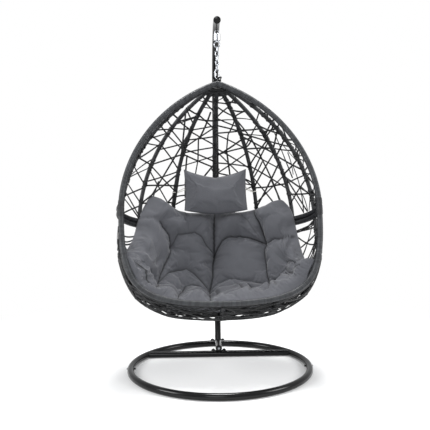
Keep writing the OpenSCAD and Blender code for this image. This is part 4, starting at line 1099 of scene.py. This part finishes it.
# %% Filling the seat
hold = np.clip(1.4 - near / 9, 0, 1) * np.minimum(1, power * 1.4)
hold = np.maximum(hold, np.clip((0.5 - fullness) * 4, 0, 1))[::2, ::2]
points, quads = closed_pad(to_world(low[::2, ::2]), to_world(upper[::2, ::2]))
pins = np.concatenate([np.ones(hold.size), hold.ravel(), np.ones(len(points) - 2 * hold.size)])
moves = inflate(points, quads, pins, pressure=5.0, reach=0.03)
moves = spread(moves[hold.size:2 * hold.size].reshape(*hold.shape, 3))
finished = to_world(upper - towards * detail[..., None] * room) + moves
points, quads = closed_pad(to_world(low), finished)
print("filled on", hold.size, "points, spread to", high[..., 0].size)

# %% [markdown]
# ## The seat cushion's map and shade
# The weave needs a map in millimetres, so it measures along the middle row and the middle
# column. The painted shade is 1 on a stitch line, less in the valleys and on the sides of folds.

# %% Seat cushion


def run_of(line):
    """Distance along a line of points, from 0: cumulative length of its steps."""
    return np.cumsum(np.concatenate([[0], np.linalg.norm(np.diff(line, axis=0), axis=1)]))


flat = np.stack(np.meshgrid(run_of(high[:, ROWS // 2]), run_of(high[COLS // 2]), indexing="ij"),
                -1).reshape(-1, 2)
edge = grid_edge(COLS, ROWS)
# Painted shade: a near-black line on each stitch, a broad darkening round the seams, and darker
# fold valleys.
stitch_shade = np.minimum(1, power * 1.15) * np.exp(-(near / 3.6) ** 2)
crease = 0.2 * power * np.exp(-(near / 15) ** 2) + 0.42 * np.clip(folds / 24, 0, 1)
dark = np.minimum(1, stitch_shade + crease).ravel()
shade = np.concatenate([np.zeros(len(flat)), dark, np.zeros(len(edge))])
seat_pad = outward(add_piece("seat_pad", points, quads, finish=CLOTH, slot="fabric",
                             uv=np.concatenate([flat, flat, flat[edge]]), shade=shade))
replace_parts(seat_pad, "seat_cushion")

# %% [markdown]
# ## The head pillow
# Two oblongs of cloth sewn edge to edge and stuffed. Its corners stay sharp and its sides
# draw in, because the filling takes up cloth in the middle. Its top edge sags between its
# two ties, and creases fan out from the corners.

# %% Pillow sides
PILLOW_W, PILLOW_H, PILLOW_T = 378.0, 256.0, 110.0
PILLOW_U = -0.72 * SEAM
PC, PR = 80, 56
SAG, SAG_TOP = 22, 17  # mm, of the whole pillow and of its top edge besides
heights = [PILLOW_U + z * PILLOW_H for z in (-0.5, -0.25, 0, 0.25, 0.5)]
pillow_y = min(float(hood(t_of(u), 90.0)[1]) for u in heights) - RIB_R - GAP - PILLOW_T / 2
even = np.linspace(-1, 1, PC)
x, z = np.meshgrid(np.sin(even * np.pi / 2) * 0.35 + even * 0.65, np.linspace(-1, 1, PR),
                   indexing="ij")
e = np.maximum(0, (1 - np.abs(x) ** 2.6) * (1 - np.abs(z) ** 2.6)) ** 0.5
fan_out = np.sin(np.arctan2(1.02 - np.abs(z), 1.02 - np.abs(x)) * 14) * np.abs(x * z)
crease = ripple(x * 180, z * 120, 110, 8) * 1.6 * e + 1.8 * fan_out * e
upper_half, lower_half = np.clip(z, 0, 1) ** 2, np.clip(-z, 0, 1) ** 2
px = x * PILLOW_W / 2 * (1 - 0.035 * (1 - z * z))
drawn_in = 1 - (1 - x * x) * (0.1 * upper_half - 0.03 * lower_half)
sag = SAG + upper_half * (SAG_TOP + 5 * np.exp(-(x / 0.06) ** 2))
pz = z * PILLOW_H / 2 * drawn_in - sag * (1 - np.abs(x) ** 1.5)
front_side = np.stack([px, -(PILLOW_T / 2 - 4) * e - 1 - crease, pz], -1)
back_side = np.stack([px, (PILLOW_T / 2 - 6) * e * 0.9 + 1, pz], -1)
print("pillow", PILLOW_W, "x", PILLOW_H, "mm, its middle at y", round(pillow_y), "mm")

# %% Pillow
total, edge = PC * PR, grid_edge(PC, PR)
nxt = np.roll(edge, -1)
face = grid_quads(PC, PR, False)
quads = np.concatenate([face, face[:, ::-1] + total,
                        np.stack([edge, nxt, nxt + total, edge + total], -1)])
held = np.zeros(total)
held[edge] = 1
points = np.concatenate([to_world(side.reshape(-1, 3) + [0, pillow_y, PILLOW_U])
                         for side in (front_side, back_side)])
pins = np.concatenate([held, np.ones(total)])
points = points + inflate(points, quads, pins, pressure=3.0, reach=0.009, shrink=-0.06)
flat = np.stack([px.ravel(), pz.ravel()], -1)
# Painted shade: the cover darkens towards its sewn edge, where the two sides meet.
seam = np.exp(-((1 - np.maximum(np.abs(x), np.abs(z))) / 0.012) ** 2).ravel() * 0.5
pillow = outward(add_piece("pillow", points, quads, finish=CLOTH, slot="fabric",
                           uv=np.concatenate([flat, flat + 400]),
                           shade=np.concatenate([seam, seam])))
smooth = pillow.modifiers.new("smooth", "SUBSURF")
smooth.levels = smooth.render_levels = 1
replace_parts(pillow, "head_pillow")

# %% [markdown]
# ## The pillow's ties
# A white braided cord on each side leaves the pillow's edge, passes round the nearest rib
# and comes back. Both are limp, so a turn round the rib is no tighter than they allow.

# %% Braided cord


def cord_finish():
    """Braided cotton: off-white, matt, with plaits every 2.5 mm along the map."""
    mat, shader = new_finish("white braided cotton", Roughness=0.9, Sheen_Weight=0.2,
                             Specular_IOR_Level=0.3)
    uv = node(mat, "UVMap", uv_map="along").outputs["UV"]
    plait = node(mat, "TexVoronoi", [("Vector", uv)], Scale=2.0).outputs["Distance"]
    # The colour darkens towards each plait's edge, where the bump sinks: painted shade in the
    # grooves.
    white = node(mat, "ValToRGB", [("Fac", plait)], [(0.1, "#f2f0ea"), (0.8, "#cfcdc6")])
    bump = node(mat, "Bump", [("Height", plait)], Strength=0.4, Distance=0.0006, invert=True)
    return feed(mat, shader, Base_Color=white.outputs["Color"], Normal=bump.outputs["Normal"])


COTTON = cord_finish()
print("cord finish:", COTTON.name)

# %% Ties
BRAID = dict(r=2.5, pitch=3.0, sides=10, per_turn=4, rise=0.35)
step = np.arange(0, 8.01, 0.5)
around = np.radians(-60 + step * 37.5)
for side, label in ((-1, "left"), (1, "right")):
    centre = hood(t_of(PILLOW_U + 6), RIB_STEP * (3 if side > 0 else 5))
    x0, r = side * (PILLOW_W / 2 * 0.93 + 2.9), RIB_R + 3
    loop = centre + np.stack([side * r * np.sin(around), -r * np.cos(around),
                              -5 + step * 1.3], -1)
    route = np.concatenate([[[x0, pillow_y, centre[2] - 5]], loop,
                            [[x0, pillow_y, centre[2] + 9]]])
    route, _ = resample(route, 4.0)
    tie = tubes_piece("pillow_tie_" + label, [wound(route, UP, **BRAID)], finish=COTTON,
                      slot="tie_cord")
    line = to_world(resample(route, 4.0)[0])
    length = float(np.linalg.norm(np.diff(line, axis=0), axis=1).sum())
    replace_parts(tie, "pillow_ties")
    print("tie", label, round(length, 3), "m")

# %% [markdown]
# ## Floor
# A pale studio floor runs out to a white surround. The camera sees the floor lifted towards
# white, but the shadow under the chair stays in it.

# %% Floor


def pale_floor():
    """Matt white paint, mixed with plain white for camera and glossy rays. The share of white
    grows with distance from the chair, from 0.15 at 0.8 m to 1 at 2.2 m."""
    mat, shader = new_finish("matt white studio floor", Roughness=0.9, Specular_IOR_Level=0.2,
                             Base_Color=srgb("#f6f6f6"))
    glow = node(mat, "Emission", Color=(1, 1, 1, 1), Strength=1.0)
    path = node(mat, "LightPath")
    seen = node(mat, "Math", [(0, path.outputs["Is Camera Ray"]),
                              (1, path.outputs["Is Glossy Ray"])], operation="MAXIMUM")
    place = node(mat, "TexCoord").outputs["Object"]
    away = node(mat, "VectorMath", [("Vector", place)], operation="LENGTH")
    fade = node(mat, "MapRange", [("Value", away.outputs["Value"]), ("From Min", 0.8),
                                  ("From Max", 2.2), ("To Min", 0.15), ("To Max", 1.0)],
                interpolation_type="SMOOTHSTEP")
    share = node(mat, "Math", [(0, seen.outputs[0]), (1, fade.outputs["Result"])],
                 operation="MULTIPLY")
    mix = node(mat, "MixShader", [("Fac", share.outputs[0]), (1, shader.outputs[0]),
                                  (2, glow.outputs[0])])
    surface = mat.node_tree.nodes["Material Output"].inputs["Surface"]
    mat.node_tree.links.new(mix.outputs[0], surface)
    return mat


LEFT, RIGHT, NEAR, FAR, BELOW = -14.0, 14.0, -9.0, 16.0, -0.0006
corners = [(LEFT, NEAR, BELOW), (RIGHT, NEAR, BELOW), (RIGHT, FAR, BELOW), (LEFT, FAR, BELOW)]
me = bpy.data.meshes.new("floor")
me.from_pydata(corners, [], [(0, 1, 2, 3)])
me.materials.append(pale_floor())
floor = bpy.data.objects.new("floor", me)
bpy.context.scene.collection.objects.link(floor)
print("floor", RIGHT - LEFT, "by", FAR - NEAR, "m")

# %% [markdown]
# ## Surround
# The world gives soft, faintly blue light from all round. The camera sees it as plain white,
# and metal reflects it as about a third white, so that tubes and links show the pale room without
# being lit by it.

# %% Surround
world = bpy.data.worlds.new("surround")
bpy.context.scene.world = world
world.use_nodes = True
world.node_tree.nodes.clear()
path = node(world, "LightPath")
partly = node(world, "Math", [(0, path.outputs["Is Glossy Ray"]), (1, 0.35)],
              operation="MULTIPLY")
seen = node(world, "Math", [(0, path.outputs["Is Camera Ray"]), (1, partly.outputs[0])],
            operation="MAXIMUM")
ambient = node(world, "Background", Color=(0.96, 0.98, 1.0, 1), Strength=0.55)
white = node(world, "Background", Color=(1, 1, 1, 1), Strength=1.0)
mix = node(world, "MixShader", [("Fac", seen.outputs[0]), (1, ambient.outputs[0]),
                                (2, white.outputs[0])])
node(world, "OutputWorld", [("Surface", mix.outputs[0])])
print("ambient light at", ambient.inputs["Strength"].default_value)

# %% [markdown]
# ## Lamps
# Two large lamps stand left and right, a weak one in front and one above. Large lamps give
# the tubes long, soft highlights, and their level leaves colours about as they are written.

# %% Lamps


def lamp(name, spot, aim, size, power):
    """Square area lamp at spot, turned so that its -Z looks at aim."""
    data = bpy.data.lights.new(name, "AREA")
    data.shape, data.size, data.energy = "SQUARE", size, power
    obj = bpy.data.objects.new(name, data)
    back = unit(np.array(spot, float) - np.array(aim, float))
    right = unit(np.cross([0, 0, 1.0], back))
    obj.matrix_world = placed(right, np.cross(back, right), back, spot)
    bpy.context.scene.collection.objects.link(obj)
    print("lamp", name, power, "W")


lamp("left", (-3.9, -1.6, 2.6), (0, 0, 1.0), 1.8, 120)
lamp("right", (3.9, -1.3, 2.5), (0, 0, 1.0), 1.8, 100)
lamp("front", (-0.6, -4.8, 2.2), (0, 0, 0.9), 1.6, 40)
lamp("top", (0.1, 0.5, 4.8), (0, 0.2, 0.6), 1.3, 230)
bpy.context.scene.view_settings.view_transform = "Standard"
